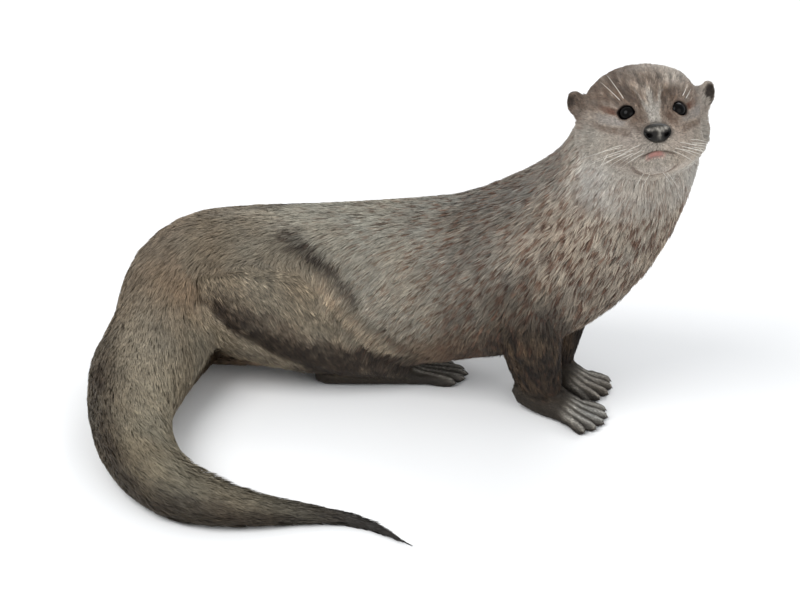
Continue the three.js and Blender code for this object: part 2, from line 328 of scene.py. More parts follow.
skinSettings = {
    "swell": 0.5 * mm,  # closes the thin gaps between the nodes
    "voxel": 1.7 * mm,
    "rounds": {"head": 3, "ear": 1, "trunk": 14, "tail": 12, "leg": 8, "paw": 1},  # of smoothing
    "crownRounds": 14,
    "napeRounds": 30,
    "heelRounds": 18,
    "fill": {"rounds": 110, "nape": 5 * mm, "paw": 3.5 * mm},  # where the neck and the legs end
    "thin": {"head": 0, "ear": 0, "trunk": 1, "tail": 1, "leg": 0.8, "paw": 0.1},
    "keep": 0.28,  # share of the faces left after thinning out the body
    "lastRounds": {"head": 1, "ear": 0, "trunk": 6, "tail": 5, "leg": 3, "paw": 0},
    "depth": {"head": 2.4, "ear": 0.7, "trunk": 3.4, "tail": 3.0, "leg": 2.6, "paw": 0.6},  # mm of coat
    "shallow": {"muzzle": 0.45, "tailTip": 0.7},  # share of the depth that is left out there
    "floor": 0.4 * mm,  # the lowest that the skin comes
    "dark": 0.74,  # painted shade: how much the skin's colours are darkened under the coat
    "finish": (0.62, 0.3, 900, 0.8, 1.15),  # roughness, shine, scale of the grain and its range
    "bump": (0.5, 0.0005),
}


def joinedFlesh(s):
    points, faces, owner = [], [], []
    count = 0
    for name in fleshNodes + ["eye_left", "eye_right", "nose"]:
        form = bmesh.new()
        form.from_mesh(nodes[name].data)
        bmesh.ops.remove_doubles(form, verts=form.verts, dist=0.01 * mm)
        bmesh.ops.triangulate(form, faces=form.faces)
        form.normal_update()
        swell = s["swell"] if name in kindOf else 0
        points += [v.co + v.normal * swell for v in form.verts]
        faces += [[v.index + count for v in f.verts] for f in form.faces]
        owner += [name] * len(form.faces)
        count += len(form.verts)
        form.free()
    return points, faces, owner


def edgesOf(faces, count):
    # each edge once, and how many edges meet at each point
    pairs = np.vstack([faces[:, [0, 1]], faces[:, [1, 2]], faces[:, [2, 0]]])
    pairs = np.unique(np.sort(pairs, axis=1), axis=0)
    meets = np.bincount(pairs.ravel(), minlength=count)
    return pairs, np.maximum(meets, 1)


def averaged(values, net):
    # the mean of each point's neighbours
    pairs, meets = net
    total = np.empty_like(values)
    for k in range(values.shape[1]):
        column = values[:, k]
        total[:, k] = np.bincount(pairs[:, 0], column[pairs[:, 1]], len(meets))
        total[:, k] += np.bincount(pairs[:, 1], column[pairs[:, 0]], len(meets))
    return total / meets[:, None]


def blurred(values, net, rounds):
    for _ in range(rounds):
        values = 0.5 * values + 0.5 * averaged(values, net)
    return values


def softened(points, net, rounds):
    # smooths the surface as many rounds as each point asks for, without shrinking it
    for turn in range(int(rounds.max())):
        share = np.clip(rounds - turn, 0, 1)[:, None]
        points = points + 0.52 * share * (averaged(points, net) - points)
        points = points - 0.54 * share * (averaged(points, net) - points)
    return points


def normalsOf(points, faces):
    a, b, c = (points[faces[:, k]] for k in range(3))
    flat = np.cross(b - a, c - a)
    total = np.zeros_like(points)
    for k in range(3):
        for axis in range(3):
            total[:, axis] += np.bincount(faces[:, k], flat[:, axis], len(points))
    return unit(total)


def ownersOf(points, finder, owners):
    # the node that each point came from
    return [owners[finder.find_nearest(Vector(point))[2]] for point in points]


def kindWeights(owners, net, rounds):
    # how much of each kind of flesh a point is, blended over the borders
    weights = np.zeros((len(owners), len(kinds)))
    for i, owner in enumerate(owners):
        weights[i, kinds.index(kindOf.get(owner, "head"))] = 1
    return blurred(weights, net, rounds)


def refined(made, inside):
    # splits the edges whose ends both lie inside
    form = bmesh.new()
    form.from_mesh(made.data)
    picked = [e for e in form.edges if inside[e.verts[0].index] and inside[e.verts[1].index]]
    bmesh.ops.subdivide_edges(form, edges=picked, cuts=1, use_grid_fill=True)
    bmesh.ops.triangulate(form, faces=form.faces)
    form.to_mesh(made.data)
    form.free()


def filled(points, faces, net, where, most, rounds):
    # fills the hollows that lie where asked, and leaves what stands out
    pairs = net[0]
    pairs = pairs[(where[pairs] > 0.01).any(1)]
    near = (pairs, np.maximum(np.bincount(pairs.ravel(), minlength=len(points)), 1))
    calm = points
    for _ in range(rounds):
        calm = calm + (averaged(calm, near) - calm) * where[:, None]
    lift = ((calm - points) * normalsOf(points, faces)).sum(1)
    lift = np.minimum(lift, most) * (lift > 0) * where
    return points + normalsOf(points, faces) * lift[:, None]


def roundsFor(points, face, weights, s):
    # how many rounds of smoothing each point gets: more on the crown, the nape and the heels
    rounds = perKind(weights, s["rounds"])
    offEars = shareOf("ear", weights) < 0.02
    crown = smooth(44, 30, face[:, 0]) * smooth(110, 90, np.linalg.norm(face, axis=1)) * offEars
    nape = crown * smooth(14, -6, face[:, 2]) * smooth(40, 15, face[:, 0])
    rounds = np.maximum(rounds, s["crownRounds"] * crown + s["napeRounds"] * nape)
    claws = np.array([middle(name) for name in nodes if name.startswith("claw")])
    clawFar = np.min([np.linalg.norm(points - claw, axis=1) for claw in claws], axis=0)
    heel = shareOf("paw", weights) * smooth(20 * mm, 34 * mm, clawFar)
    return np.maximum(rounds, s["heelRounds"] * heel)


def withBorders(points, faces, net, face, weights, s):
    # the neck runs into the head, and the legs into the paws, with no step
    wide = blurred(weights, net, 30)
    head, trunk, leg, paw = (shareOf(kind, wide) for kind in ("head", "trunk", "leg", "paw"))
    chin = smooth(40, 52, face[:, 0]) * smooth(26, 16, np.abs(face[:, 1]))
    nape = smooth(0.02, 0.4, 4 * head * trunk)
    points = filled(points, faces, net, nape * (1 - 0.75 * chin), s["nape"], s["rounds"])
    ankle = smooth(0.05, 0.5, 4 * leg * paw)
    points = filled(points, faces, net, ankle, s["paw"], s["rounds"] // 2)
    return softened(points, net, 3 * (nape + ankle))


def thinnedOut(skin, body, keep):
    group = skin.vertex_groups.new(name="thin")
    for i, value in enumerate(body):
        if value > 0.3:
            group.add([i], float(value), "REPLACE")
    fewer = skin.modifiers.new("fewer", "DECIMATE")
    fewer.vertex_group = "thin"
    fewer.ratio = keep
    evaluated(skin)
    skin.vertex_groups.clear()


def makeSkin(s):
    points, faces, owners = joinedFlesh(s)
    finder = BVHTree.FromPolygons(points, faces)
    skin = newObject("skin", meshOf("skin", points, faces))
    remesh = skin.modifiers.new("remesh", "REMESH")
    remesh.mode = "VOXEL"
    remesh.voxel_size = s["voxel"]
    points, faces = meshArrays(evaluated(skin))
    net = edgesOf(faces, len(points))
    weights = kindWeights(ownersOf(points, finder, owners), net, 6)
    face = inHead(points) / mm
    points = softened(points, net, roundsFor(points, face, weights, s))
    points = withBorders(points, faces, net, face, weights, s["fill"])
    skin.data = meshOf("skin", points, faces)
    thinnedOut(skin, perKind(weights, s["thin"]), s["keep"])
    return skin, finder, owners


skin, fleshFinder, fleshOwners = makeSkin(skinSettings)
print("skin of", len(skin.data.vertices), "points")


eyeSettings = {
    "radius": 8.2 * mm,
    "shift": (0, 1.0 * mm, -0.7 * mm),  # both eyes sit a little to the left
    "sink": 2.4 * mm,  # how far behind the middle of its solid the eyeball sits
    "gaze": (0.74, 0.45, 0.48),  # forward, outward and up, in the head's own frame
    "open": (7.9 * mm, 6.5 * mm),  # half the width and height between the lids
    "pinch": 0.42,  # how much lower the opening is at its corners
    "lid": 0.9 * mm,
    "behind": 1.3 * mm,  # how far inside the eyeball the skin runs
    "lidSlope": 0.42,
    "lidReach": (12 * mm, 17 * mm),
}


def eyeFrame(side, s=eyeSettings):
    # middle of the eyeball and its own ways: out, across and up, in the head's frame
    gaze = unit(np.array(s["gaze"]) * (1, side, 1))
    start = np.array(headSettings["eyeAt"]) * (1, side, 1) + s["shift"] - gaze * s["sink"]
    across = unit(np.cross((0, 0, 1), gaze))
    return start, np.array([gaze, across, np.cross(gaze, across)])


def lidMeasure(points, side, s=eyeSettings):
    # places in the eye's frame, and 1 along the edge of the lids
    start, axes = eyeFrame(side)
    local = (points - start) @ axes.T
    wide, tall = s["open"]
    pinch = 1 - s["pinch"] * smooth(0.45, 1.25, np.abs(local[:, 1]) / wide)
    edge = np.hypot(local[:, 1] / wide, local[:, 2] / (tall * pinch))
    return local, np.where(local[:, 0] > -3 * mm, edge, 99)


def domeOver(radius, far):
    # how high a ball stands at a distance from its middle
    return np.sqrt(np.maximum(radius ** 2 - far ** 2, 0))


def softMax(a, b, softness):
    return (a + b + np.sqrt((a - b) ** 2 + softness ** 2)) / 2


def withLids(points, side, s=eyeSettings):
    start, axes = eyeFrame(side)
    local, edge = lidMeasure(points, side)
    far = np.hypot(local[:, 1], local[:, 2])
    inside = domeOver(s["radius"], far) - s["behind"]
    rim = domeOver(s["radius"] + s["lid"], far)
    edgeFar = far / np.maximum(edge, 0.05)
    slope = domeOver(s["radius"] + s["lid"], edgeFar) - s["lidSlope"] * (far - edgeFar)
    outside = softMax(local[:, 0], np.where(edge < 1.12, rim, slope), 1.0 * mm)
    height = np.where(edge < 1, inside, outside)
    share = smooth(0.96, 1.04, edge)
    height = np.where(np.abs(edge - 1) < 0.05, inside * (1 - share) + outside * share, height)
    near = (1 - smooth(*s["lidReach"], far)) * (edge < 50)
    local[:, 0] += (height - local[:, 0]) * near
    return local @ axes + start


faceSettings = {  # in millimetres of the head's frame
    "swellings": {  # place, size and how far it stands out, on both sides
        "pads": ((61, 15.5, -6), 7.5, 2.2),
        "padsBack": ((52, 25, -8), 7.5, 0.5),
        "chin": ((60, 0, -21), 8, 1.2),
        "jaw": ((52, 14, -27), 6, -1.0),
        "brows": ((45, 18, 31), 6.5, 1.3),
        "cheeks": ((19, 52, -6), 16, -8.5),
        "stop": ((50, 0, 20), 8, -1.2),
        "temples": ((20, 42, 18), 12, -0.8),
        "mask": ((56, 13, 9), 6, -0.8),
    },
    "leftCrown": ((4, 30, 40), 15, 3.2),
    "mouthMiddle": (38, -10.2),  # the mouth goes round a point this far forward, at this height
    "mouthDrop": 0.3,
    "mouthCorner": (0.06, 0.52, -4.0),  # from and to these turns, in radians, it rises by this
    "mouthWide": 1.2,
    "mouthDeep": 1.5,
    "lip": (3.2, 1.8, 1.0),  # how far below the mouth, half its height and how far it stands out
    "nosePad": {"size": (30, 11.5, 7.8), "sink": 6},  # the skin draws back behind the nose
    "groove": {"wide": 0.9, "deep": 0.9},  # from the nose to the mouth
    "jawLine": {"middle": (-2.5, -10), "size": (21.5, 27), "wide": 0.11, "deep": 1.1},
}


def mouthTurn(face, shift=0):
    return np.arctan2(np.abs(face[:, 1] + shift), face[:, 0] - faceSettings["mouthMiddle"][0])


def mouthMeasure(face, s=faceSettings):
    # how far below the mouth line a point is, and whether it is in reach of it
    turn = mouthTurn(face)
    begin, end, rise = s["mouthCorner"]
    height = s["mouthMiddle"][1] - s["mouthDrop"] * np.sin(np.clip(turn * 2.6, 0, math.pi)) + (
        rise * smooth(begin, end, turn))
    reach = (1 - smooth(0.26, 0.5, turn)) * smooth(40, 44, face[:, 0])
    return height - face[:, 2], reach


def lipShare(face, below, reach):
    # the bare pink of the lower lip, a little to its right side
    return reach * bell(below - 2.7, 2.4, 4) * smooth(0.26, 0.1, mouthTurn(face, 3.0))


def jawLine(face, wide, s=faceSettings["jawLine"]):
    # the round line under the chin that parts it from the throat
    ring = ((face[:, 1:] - s["middle"]) / s["size"]) ** 2
    return bell(ring[:, 0] + ring[:, 1] - 1, wide)


def withFace(points, normals, s=faceSettings):
    face = points / mm
    out = np.zeros(len(points))
    for place, size, height in s["swellings"].values():
        for side in (1, -1):
            far = np.linalg.norm(face - np.array(place) * (1, side, 1), axis=1)
            share = 0.5 if place[1] == 0 else 1.0
            out += share * height * bell(far, size)
    place, size, height = s["leftCrown"]
    out += height * bell(np.linalg.norm(face - place, axis=1), size)
    below, reach = mouthMeasure(face)
    out -= s["mouthDeep"] * reach * bell(below, s["mouthWide"])
    drop, size, height = s["lip"]
    out += height * reach * bell(below - drop, size) * (mouthTurn(face) < 0.6)
    nose = np.array(headSettings["noseAt"]) / mm
    padFar = np.linalg.norm((face - nose) / s["nosePad"]["size"], axis=1)
    padded = smooth(1.05, 0.8, padFar) * (face[:, 0] > 50)
    out *= 1 - padded
    groove = bell(face[:, 1], s["groove"]["wide"]) * (face[:, 0] > 58)
    groove *= smooth(-2, -5, face[:, 2]) * smooth(-13, -11, face[:, 2])
    out -= s["groove"]["deep"] * groove
    line = s["jawLine"]["deep"] * jawLine(face, s["jawLine"]["wide"])
    out -= line * smooth(-22, -28, face[:, 2]) * smooth(34, 46, face[:, 0])
    moved = points + normals * (out * mm)[:, None]
    moved[:, 0] -= s["nosePad"]["sink"] * mm * padded
    return moved


thighSettings = {  # lines in shares of the length and height of the hind leg's solid
    "upper": [(0.24, 1.14), (0.36, 1.10), (0.48, 1.06), (0.64, 0.97), (0.76, 0.82),
              (0.86, 0.64), (0.98, 0.45), (1.14, 0.24)],
    "lower": [(0.06, 0.78), (0.14, 0.68), (0.31, 0.50), (0.42, 0.40), (0.52, 0.29),
              (0.62, 0.17), (0.72, 0.05)],
    "shade": [(0.22, 0.74), (0.38, 0.74), (0.54, 0.57), (0.73, 0.42), (0.94, 0.33), (1.14, 0.22)],
    "waves": [  # place above the upper line, half the width, and how far it stands out
        (0, 4.5, -3.2),
        (-15, 11, 2.4),
        (14, 9, 0.8),
    ],
    "lowerWave": (-5, 5, -1.6),  # the same at the lower line
}


def offSegment(points, a, b):
    # the way from the nearest place between two others to each point
    a, b = np.array(a, float), np.array(b, float)
    share = np.clip(((points - a) @ (b - a)) / ((b - a) @ (b - a)), 0, 1)
    return points - a - share[:, None] * (b - a)


def lineMeasure(flat, line):
    # distance to a line, positive on its left, and the share of the line's length there
    line = np.asarray(line, float)
    lengths = np.linalg.norm(np.diff(line, axis=0), axis=1)
    starts = np.concatenate([[0], np.cumsum(lengths)])
    best = np.full(len(flat), 1e9)
    signed = np.zeros(len(flat))
    share = np.zeros(len(flat))
    for i, length in enumerate(lengths):
        way = (line[i + 1] - line[i]) / length
        off = flat - line[i]
        held = np.clip(off @ way, 0, length)
        far = np.hypot(*(off - held[:, None] * way).T)
        nearer = far < best
        best = np.where(nearer, far, best)
        left = way[0] * off[:, 1] - way[1] * off[:, 0]
        signed = np.where(nearer, np.where(left < 0, -far, far), signed)
        share = np.where(nearer, (starts[i] + held) / starts[-1], share)
    return signed, share


def thighMeasure(points, limb, s=thighSettings):
    # millimetres above each of a thigh's lines and how far along it, and 1 on its outer side
    low, high = corners("leg_" + limb)
    size = (high - low)[[0, 2]] / mm
    flat = (points[:, [0, 2]] - low[[0, 2]]) / mm
    lines = {name: lineMeasure(flat, np.array(s[name]) * size) for name in ("upper", "lower", "shade")}
    centre = (middle("hips")[1] + middle("loin")[1]) / 2
    outward = -1 if limb == "hind_right" else 1
    onSide = smooth(0.0, 0.02, (points[:, 1] - centre) * outward)
    onSide = onSide * smooth(low[0] - 0.03, low[0], points[:, 0])
    return lines, onSide * smooth(high[0] + 0.05, high[0] + 0.02, points[:, 0])


def withThighs(points, normals, weights, s=thighSettings):
    body = shareOf("trunk", weights) + shareOf("leg", weights)
    out = np.zeros(len(points))
    for limb in ("hind_right", "hind_left"):
        lines, onSide = thighMeasure(points, limb)
        above, run = lines["upper"]
        ends = smooth(0, 0.2, run) * smooth(1, 0.85, run)
        out += sum(height * bell(above - at, size) for at, size, height in s["waves"]) * ends * onSide * body
        at, size, height = s["lowerWave"]
        out += height * bell(lines["lower"][0] - at, size) * onSide * body
    return points + normals * (out * mm)[:, None]


earSettings = {
    "size": (0.9, 0.76, 0.92),
    "shift": (0, 2.0, 4.6),  # millimetres outward and up
}


def withEars(face, share, s=earSettings):
    # ears a little smaller than their solids and set a little higher, in the head's frame
    for side, name in ((1, "ear_left"), (-1, "ear_right")):
        centre = inHead(middle(name)[None])[0]
        moved = centre + (face - centre) * s["size"] + np.array(s["shift"]) * (mm, side * mm, mm)
        face = face + (moved - face) * (share * (face[:, 1] * side > 0))[:, None]
    return face


def inFace(points):
    # places in the head's frame, and which are in reach of the face
    face = inHead(points)
    return face, np.linalg.norm(face, axis=1) < headSettings["reach"]


def sunkSkin(points, faces, net, weights, s):
    # the skin lies under the coat by its depth, with the thighs and the ears shaped
    points = softened(points, net, perKind(weights, s["lastRounds"]))
    depth = perKind(weights, s["depth"]) * mm
    face, near = inFace(points)
    muzzle = smooth(30 * mm, 62 * mm, face[:, 0]) * near
    depth = depth * (1 - s["shallow"]["muzzle"] * muzzle)
    tipFar = np.linalg.norm(points - bodyPoints[-1], axis=1)
    depth = depth * (1 - s["shallow"]["tailTip"] * smooth(0.13, 0.02, tipFar))
    points = points - normalsOf(points, faces) * depth[:, None]
    points = withThighs(points, normalsOf(points, faces), weights)
    ears = shareOf("ear", weights)[:, None]
    for _ in range(6):
        ears = np.maximum(ears, averaged(ears, net))
    points = fromHead(withEars(inHead(points), smooth(0, 0.9, ears[:, 0])))
    points[:, 2] = np.maximum(points[:, 2], s["floor"])
    return points


def finerFace(skin):
    # finer faces on the muzzle first, then round the mouth and the eyes, then at the lids
    for level in range(3):
        face, near = inFace(meshArrays(skin.data)[0])
        below, reach = mouthMeasure(face / mm)
        lids = np.minimum(lidMeasure(face, 1)[1], lidMeasure(face, -1)[1])
        refined(skin, [
            near & (face[:, 0] > 36 * mm),
            near & ((lids < 1.9) | ((reach > 0) & (np.abs(below) < 4)) & (face[:, 0] > 44 * mm)),
            near & (lids > 0.72) & (lids < 1.4),
        ][level])


def finishSkin(skin, finder, owners, s):
    points, faces = meshArrays(skin.data)
    net = edgesOf(faces, len(points))
    weights = kindWeights(ownersOf(points, finder, owners), net, 4)
    skin.data = meshOf("skin", sunkSkin(points, faces, net, weights, s), faces)
    finerFace(skin)
    points, faces = meshArrays(skin.data)
    face, near = inFace(points)
    normals = normalsOf(points, faces) @ headAxes.T
    face[near] = withFace(face[near], normals[near])
    for side in (1, -1):
        face[near] = withLids(face[near], side)
    points[near] = fromHead(face[near])
    skin.data = meshOf("skin", points, faces)
    print("face modelled, skin of", len(faces), "triangles")


def mapSkin(made):
    bpy.context.view_layer.objects.active = made
    made.select_set(True)
    bpy.ops.object.mode_set(mode="EDIT")
    bpy.ops.mesh.select_all(action="SELECT")
    bpy.ops.uv.smart_project(angle_limit=math.radians(72), island_margin=0.004)
    bpy.ops.object.mode_set(mode="OBJECT")
    made.select_set(False)
    layer = made.data.uv_layers.active
    layer.name = "OFBake"
    flat = np.empty(len(layer.data) * 2, np.float32)
    layer.data.foreach_get("uv", flat)
    return flat.reshape(-1, 3, 2)


finishSkin(skin, fleshFinder, fleshOwners, skinSettings)
skinMap = mapSkin(skin)
skinPoints, skinFaces = meshArrays(skin.data)
skinNormals = normalsOf(skinPoints, skinFaces)
skinNet = edgesOf(skinFaces, len(skinPoints))
skinOwners = ownersOf(skinPoints, fleshFinder, fleshOwners)
skinWeights = kindWeights(skinOwners, skinNet, 5)
print("skin unwrapped")


def bodyPlaces(points, weights):
    # distance along the body, and the turn round it from the top of the back, for each point
    along = np.zeros(len(points))
    around = np.zeros(len(points))
    ways = np.zeros((len(points), 3))
    root = bodyStarts["tail_root"]
    tail = shareOf("tail", weights) > 0.5
    for picked, low, high in ((tail, root - 0.03, 9), (~tail, 0, root + 0.02)):
        span = np.flatnonzero((bodyAlong >= low) & (bodyAlong <= high))
        line = bodyPoints[span]
        which = np.flatnonzero(picked)
        for part in np.array_split(which, max(1, len(which) // 8000)):
            apart = ((points[part][:, None] - line[None]) ** 2).sum(2)
            nearest = apart.argmin(1)
            way = bodyWays[span][nearest]
            off = points[part] - line[nearest]
            along[part] = bodyAlong[span][nearest] + (off * way).sum(1)
            top = unit(np.array((0, 0, 1.0)) - way * way[:, 2:])
            side = np.cross(top, way)
            around[part] = np.arctan2((off * side).sum(1), (off * top).sum(1))
            ways[part] = way
    return along, around, ways


def markWeights(rounds):
    # the kinds of flesh run further into each other for the markings, but not at the ears
    weights = skinWeights.copy()
    soft = 0.6 * (1 - smooth(0, 0.3, shareOf("ear", weights)))[:, None]
    soft = soft * (1 - 0.8 * smooth(0.3, 0.8, shareOf("paw", weights)))[:, None]
    for _ in range(rounds):
        weights = weights + (averaged(weights, skinNet) - weights) * soft
    return weights


skinAlong, skinAround, skinWays = bodyPlaces(skinPoints, skinWeights)
skinMarks = markWeights(45)


def clawMiddles(limb):
    return np.array([middle("claw_%s_%d" % (limb, i)) for i in range(1, 6)])


def flatTo(ways, normals):
    # the ways without what leads out of the skin
    return ways - normals * (ways * normals).sum(1)[:, None]


flowSettings = {
    "droop": 0.4,  # how far the coat leans down on the flanks
    "soft": {"head": 0.5, "ear": 0.3, "trunk": 1, "tail": 1, "leg": 1, "paw": 0.6},
    "rounds": 26,
}


def layOfCoat(s):
    face = inHead(skinPoints)
    noseTip = np.array(headSettings["noseAt"]) + (4 * mm, 0, 0)
    back = unit(face - noseTip)
    back[:, 2] -= 0.35 * smooth(4 * mm, -20 * mm, face[:, 2]) * smooth(64 * mm, 40 * mm, face[:, 0])
    down = np.array((0, 0, -1.0))
    sides = np.abs(np.sin(skinAround))[:, None]
    lays = {kind: np.zeros_like(skinPoints) for kind in kinds}
    lays["head"] = back @ headAxes
    lays["trunk"] = unit(skinWays + s["droop"] * sides * down)
    lays["tail"] = unit(skinWays + 0.3 * s["droop"] * sides * down)
    names = np.array(skinOwners)
    for limb in limbs:
        leg, paw = names == "leg_" + limb, middle("paw_" + limb)
        lays["leg"][leg] = unit(unit(paw - skinPoints[leg]) + 0.3 * skinWays[leg] + 0.15 * down)
        lays["paw"][names == "paw_" + limb] = unit(clawMiddles(limb).mean(0) - paw)
    for ear, side in zip(flesh["ear"], (1, -1)):
        low = fromHead(np.array((-2, 44 * side, 10)) * mm)
        lays["ear"][names == ear] = unit(skinPoints[names == ear] - low)
    ways = sum(lays[kind] * shareOf(kind, skinWeights)[:, None] for kind in kinds)
    soft = perKind(skinWeights, s["soft"])
    for _ in range(s["rounds"]):
        ways = unit(flatTo(ways, skinNormals))
        ways = ways + (averaged(ways, skinNet) - ways) * (0.8 * soft)[:, None]
    return unit(flatTo(ways, skinNormals))


skinLay = layOfCoat(flowSettings)
print("lay of the coat found")


colours = {  # screen values, red green and blue
    "back": (170, 169, 158),
    "flank": (171, 166, 152),
    "shoulder": (114, 109, 100),
    "thigh": (114, 104, 88),
    "thighPale": (152, 136, 114),
    # painted shade in the thigh's fold and under the thigh
    "foldShade": (43, 35, 28),
    "underShadeBrown": (78, 66, 55),
    "rump": (111, 88, 68),
    "belly": (103, 69, 46),
    "streak": (80, 50, 36),
    "chest": (179, 167, 150),
    "throat": (184, 179, 171),
    "tailTop": (145, 138, 120),
    "tailMiddle": (122, 114, 96),
    # the dark of the tail's edge and tip, also used as painted shade on its underside
    "tailDarkAndShade": (48, 40, 31),
    "tailTip": (38, 34, 30),
    "foreLeg": (58, 46, 34),
    "armDark": (20, 14, 10),
    "armBrown": (80, 71, 60),
    "paw": (54, 47, 39),
    # painted highlight on the tops of the toes, and painted shade between them
    "toe": (176, 171, 161),
    "toeGapShade": (44, 40, 35),
    "crown": (150, 139, 127),
    "brow": (75, 60, 49),
    "crownPale": (164, 157, 148),
    "bridge": (162, 156, 147),
    "mask": (72, 52, 39),
    "stripe": (88, 71, 59),
    "redBrown": (84, 54, 40),
    "underEye": (138, 131, 124),
    "cheek": (155, 146, 134),
    "muzzle": (160, 148, 137),
    "chin": (166, 157, 147),
    "lip": (192, 136, 124),
    "lidRim": (50, 39, 32),
    "earBack": (112, 101, 91),
    "earRim": (166, 157, 146),
    "earHollowShade": (60, 51, 44),
}


def marked(base, *marks):
    # lays marks over each other, each a colour's name and how much of it
    for name, share in marks:
        base = mixed(base, colours[name], np.clip(share, 0, 1))
    return base


def streaks(along, across, size, seed):
    # strokes that run along the coat, about -1 to 1
    return bumps(np.stack([along * 0.2, across, 0 * across], axis=1), size, seed, 2)


def legShare(points, limb):
    # how far forward a point is along a leg, from 0 to 1
    low, high = corners("leg_" + limb)
    return (points[:, 0] - low[0]) / (high[0] - low[0])


def thighMarks(colour, points):
    strokes = np.clip(0.75 + 0.75 * bumps(points * (0.35, 1, 0.8), 0.007, 44, 2), 0.1, 1.15)
    for limb in ("hind_right", "hind_left"):
        lines, onSide = thighMeasure(points, limb)
        (above, run), (lower, lowRun), (shade, _) = lines.values()
        inside = smooth(4, -4, above) * smooth(-4, 6, lower)
        pale = bell(above + 15, 8) * smooth(0.22, 0.4, run) * smooth(1.0, 0.8, run)
        # painted shade: a dark line in the fold at the top of the thigh, a brown band under it, a dark lower
        # edge, and the shank darker towards the floor
        foldShade = smooth(0.06, 0.2, run) * smooth(0.62, 0.45, run)
        foldShade = bell(above - 2, 5) * (foldShade + 0.55 * smooth(0.6, 0.7, run) * smooth(1, 0.9, run))
        under = (0.35 + 0.4 * lowRun) * smooth(5, -6, shade) * smooth(-9, -3, lower)
        edge = bell(np.maximum(lower - 3, 0), 16) * smooth(-10, -4, lower) * smooth(0, 0.15, lowRun)
        low = smooth(0.078, 0.056, points[:, 2]) * smooth(5, -5, shade) * smooth(-9, -3, lower)
        low = np.maximum(low, smooth(0.05, 0.03, points[:, 2]) * smooth(2, -8, shade))
        low = low * smooth(0.38, 0.55, legShare(points, limb))
        colour = marked(
            colour,
            ("thigh", 0.7 * inside * onSide),
            ("thighPale", 0.75 * pale * onSide * strokes),
            ("foldShade", foldShade * onSide * strokes),
            ("underShadeBrown", under * onSide * strokes),
            ("foldShade", edge * onSide * (0.45 + 0.6 * strokes)),
            ("foldShade", low * onSide * (0.35 + 0.6 * strokes)),
        )
    return colour


def armShare(points):
    # how much a point belongs to the lower part of a foreleg, and to the whole of it
    total = np.zeros(len(points))
    for limb in ("fore_left", "fore_right"):
        low, high = corners("leg_" + limb)
        far = np.hypot(*((points - (low + high) / 2) / ((high - low) / 2))[:, :2].T)
        total = np.maximum(total, smooth(1.7, 1.0, far))
    return total * smooth(0.125, 0.06, points[:, 2]), total * smooth(0.178, 0.13, points[:, 2])


def armStrokes(points):
    return bumps(points * (1, 1, 0.18), 0.009, 52, 2)


def throatShare(points, along, top):
    # the pale throat, which ends part of the way down the neck
    neck = bodyStarts["chest"]
    low, high = corners("neck")
    share = (points[:, 2] - low[2]) / (high[2] - low[2])
    return smooth(neck + 0.08, neck - 0.04, along) * smooth(0.45, -0.5, top) * smooth(0.62, 0.78, share)


def shagOf(points, along, top, weights):
    # where the coat hangs in long locks
    neck, hips = bodyStarts["chest"], bodyStarts["hips"]
    shag = smooth(hips + 0.02, neck + 0.04, along) * smooth(0.85, 0.1, top)
    shag = np.maximum(shag, 0.7 * smooth(0.1, -0.6, top)) * (1 - 0.8 * throatShare(points, along, top))
    shag = shareOf("trunk", weights) * np.maximum(shag, 0.35 * smooth(hips + 0.1, neck, along))
    fore = shareOf("leg", weights) * smooth(0.03, 0.07, points[:, 0])
    return np.clip(shag + 0.6 * fore, 0, 1)


def trunkColours(points, along, around):
    neck, chest = bodyStarts["chest"], bodyStarts["loin"]
    hips, root = bodyStarts["hips"], bodyStarts["tail_root"]
    top = np.cos(around)
    under = smooth(-0.1, -0.75, top)
    throat = throatShare(points, along, top)
    lowArm, arm = armShare(points)
    colour = marked(
        plain(colours["back"], len(points)),
        ("flank", smooth(0.7, 0.1, top)),
        ("shoulder", smooth(chest + 0.1, neck, along)),
        ("rump", smooth(hips - 0.02, root, along)),
        ("belly", 0.85 * under * smooth(neck + 0.02, chest, along)),
        ("chest", smooth(neck + 0.10, neck - 0.03, along) * smooth(0.75, -0.1, top)),
        ("throat", throat),
    )
    strokes = streaks(along, around * 0.07, 0.0052, 51)
    strength = 0.07 + 0.5 * smooth(hips + 0.03, neck + 0.02, along) * (1 - 0.85 * throat) + 0.16 * under
    colour = marked(
        thighMarks(colour, points),
        ("armBrown", 0.75 * arm),
        ("foreLeg", 0.9 * lowArm),
        ("armDark", 0.6 * lowArm * np.clip(0.3 + 1.6 * armStrokes(points), 0, 1)),
        ("streak", np.clip(strokes * 3.6 - 0.8, 0, 1) * strength * 1.7),
    )
    return colour * (1 + 0.06 * strength * np.maximum(-strokes, 0))[:, None]


def tailColours(points, along, around):
    root, half, end, tip = (bodyStarts[name] for name in flesh["tail"])
    side = np.sin(around)
    # painted shade on the underside of the tail's outer side
    low = smooth(0.55, -0.35, np.cos(around)) * smooth(0.1, -0.5, side) * smooth(root, half, along)
    # the dark band on the outer side, partly the tail's own marking and partly painted shade, runs down
    # towards the floor past the tail's middle
    past = smooth(half - 0.06, half + 0.02, along)
    outer = -around - 1.02 + 0.2 * past - 0.9 * smooth(half, end + 0.03, along)
    band = bell(outer, 0.43 + 0.12 * past) * smooth(root, half, along)
    strokes = 0.8 + 0.35 * streaks(along, around * 0.05, 0.009, 54)
    colour = marked(
        plain(colours["tailTop"], len(points)),
        ("tailMiddle", smooth(half, end, along)),
        ("tailDarkAndShade", 0.45 * low),
        ("tailDarkAndShade", 0.95 * band * strokes),
    )
    # painted light: the inner side is made lighter past the tail's middle
    inner = smooth(0.1, 0.8, side) * smooth(tip, end, along)
    colour = colour * (1 + 0.14 * inner * past)[:, None]
    return marked(
        colour,
        ("tailDarkAndShade", 0.3 * smooth(end, tip, along)),
        ("tailTip", smooth(tip - 0.03, tip + 0.09, along)),
    )


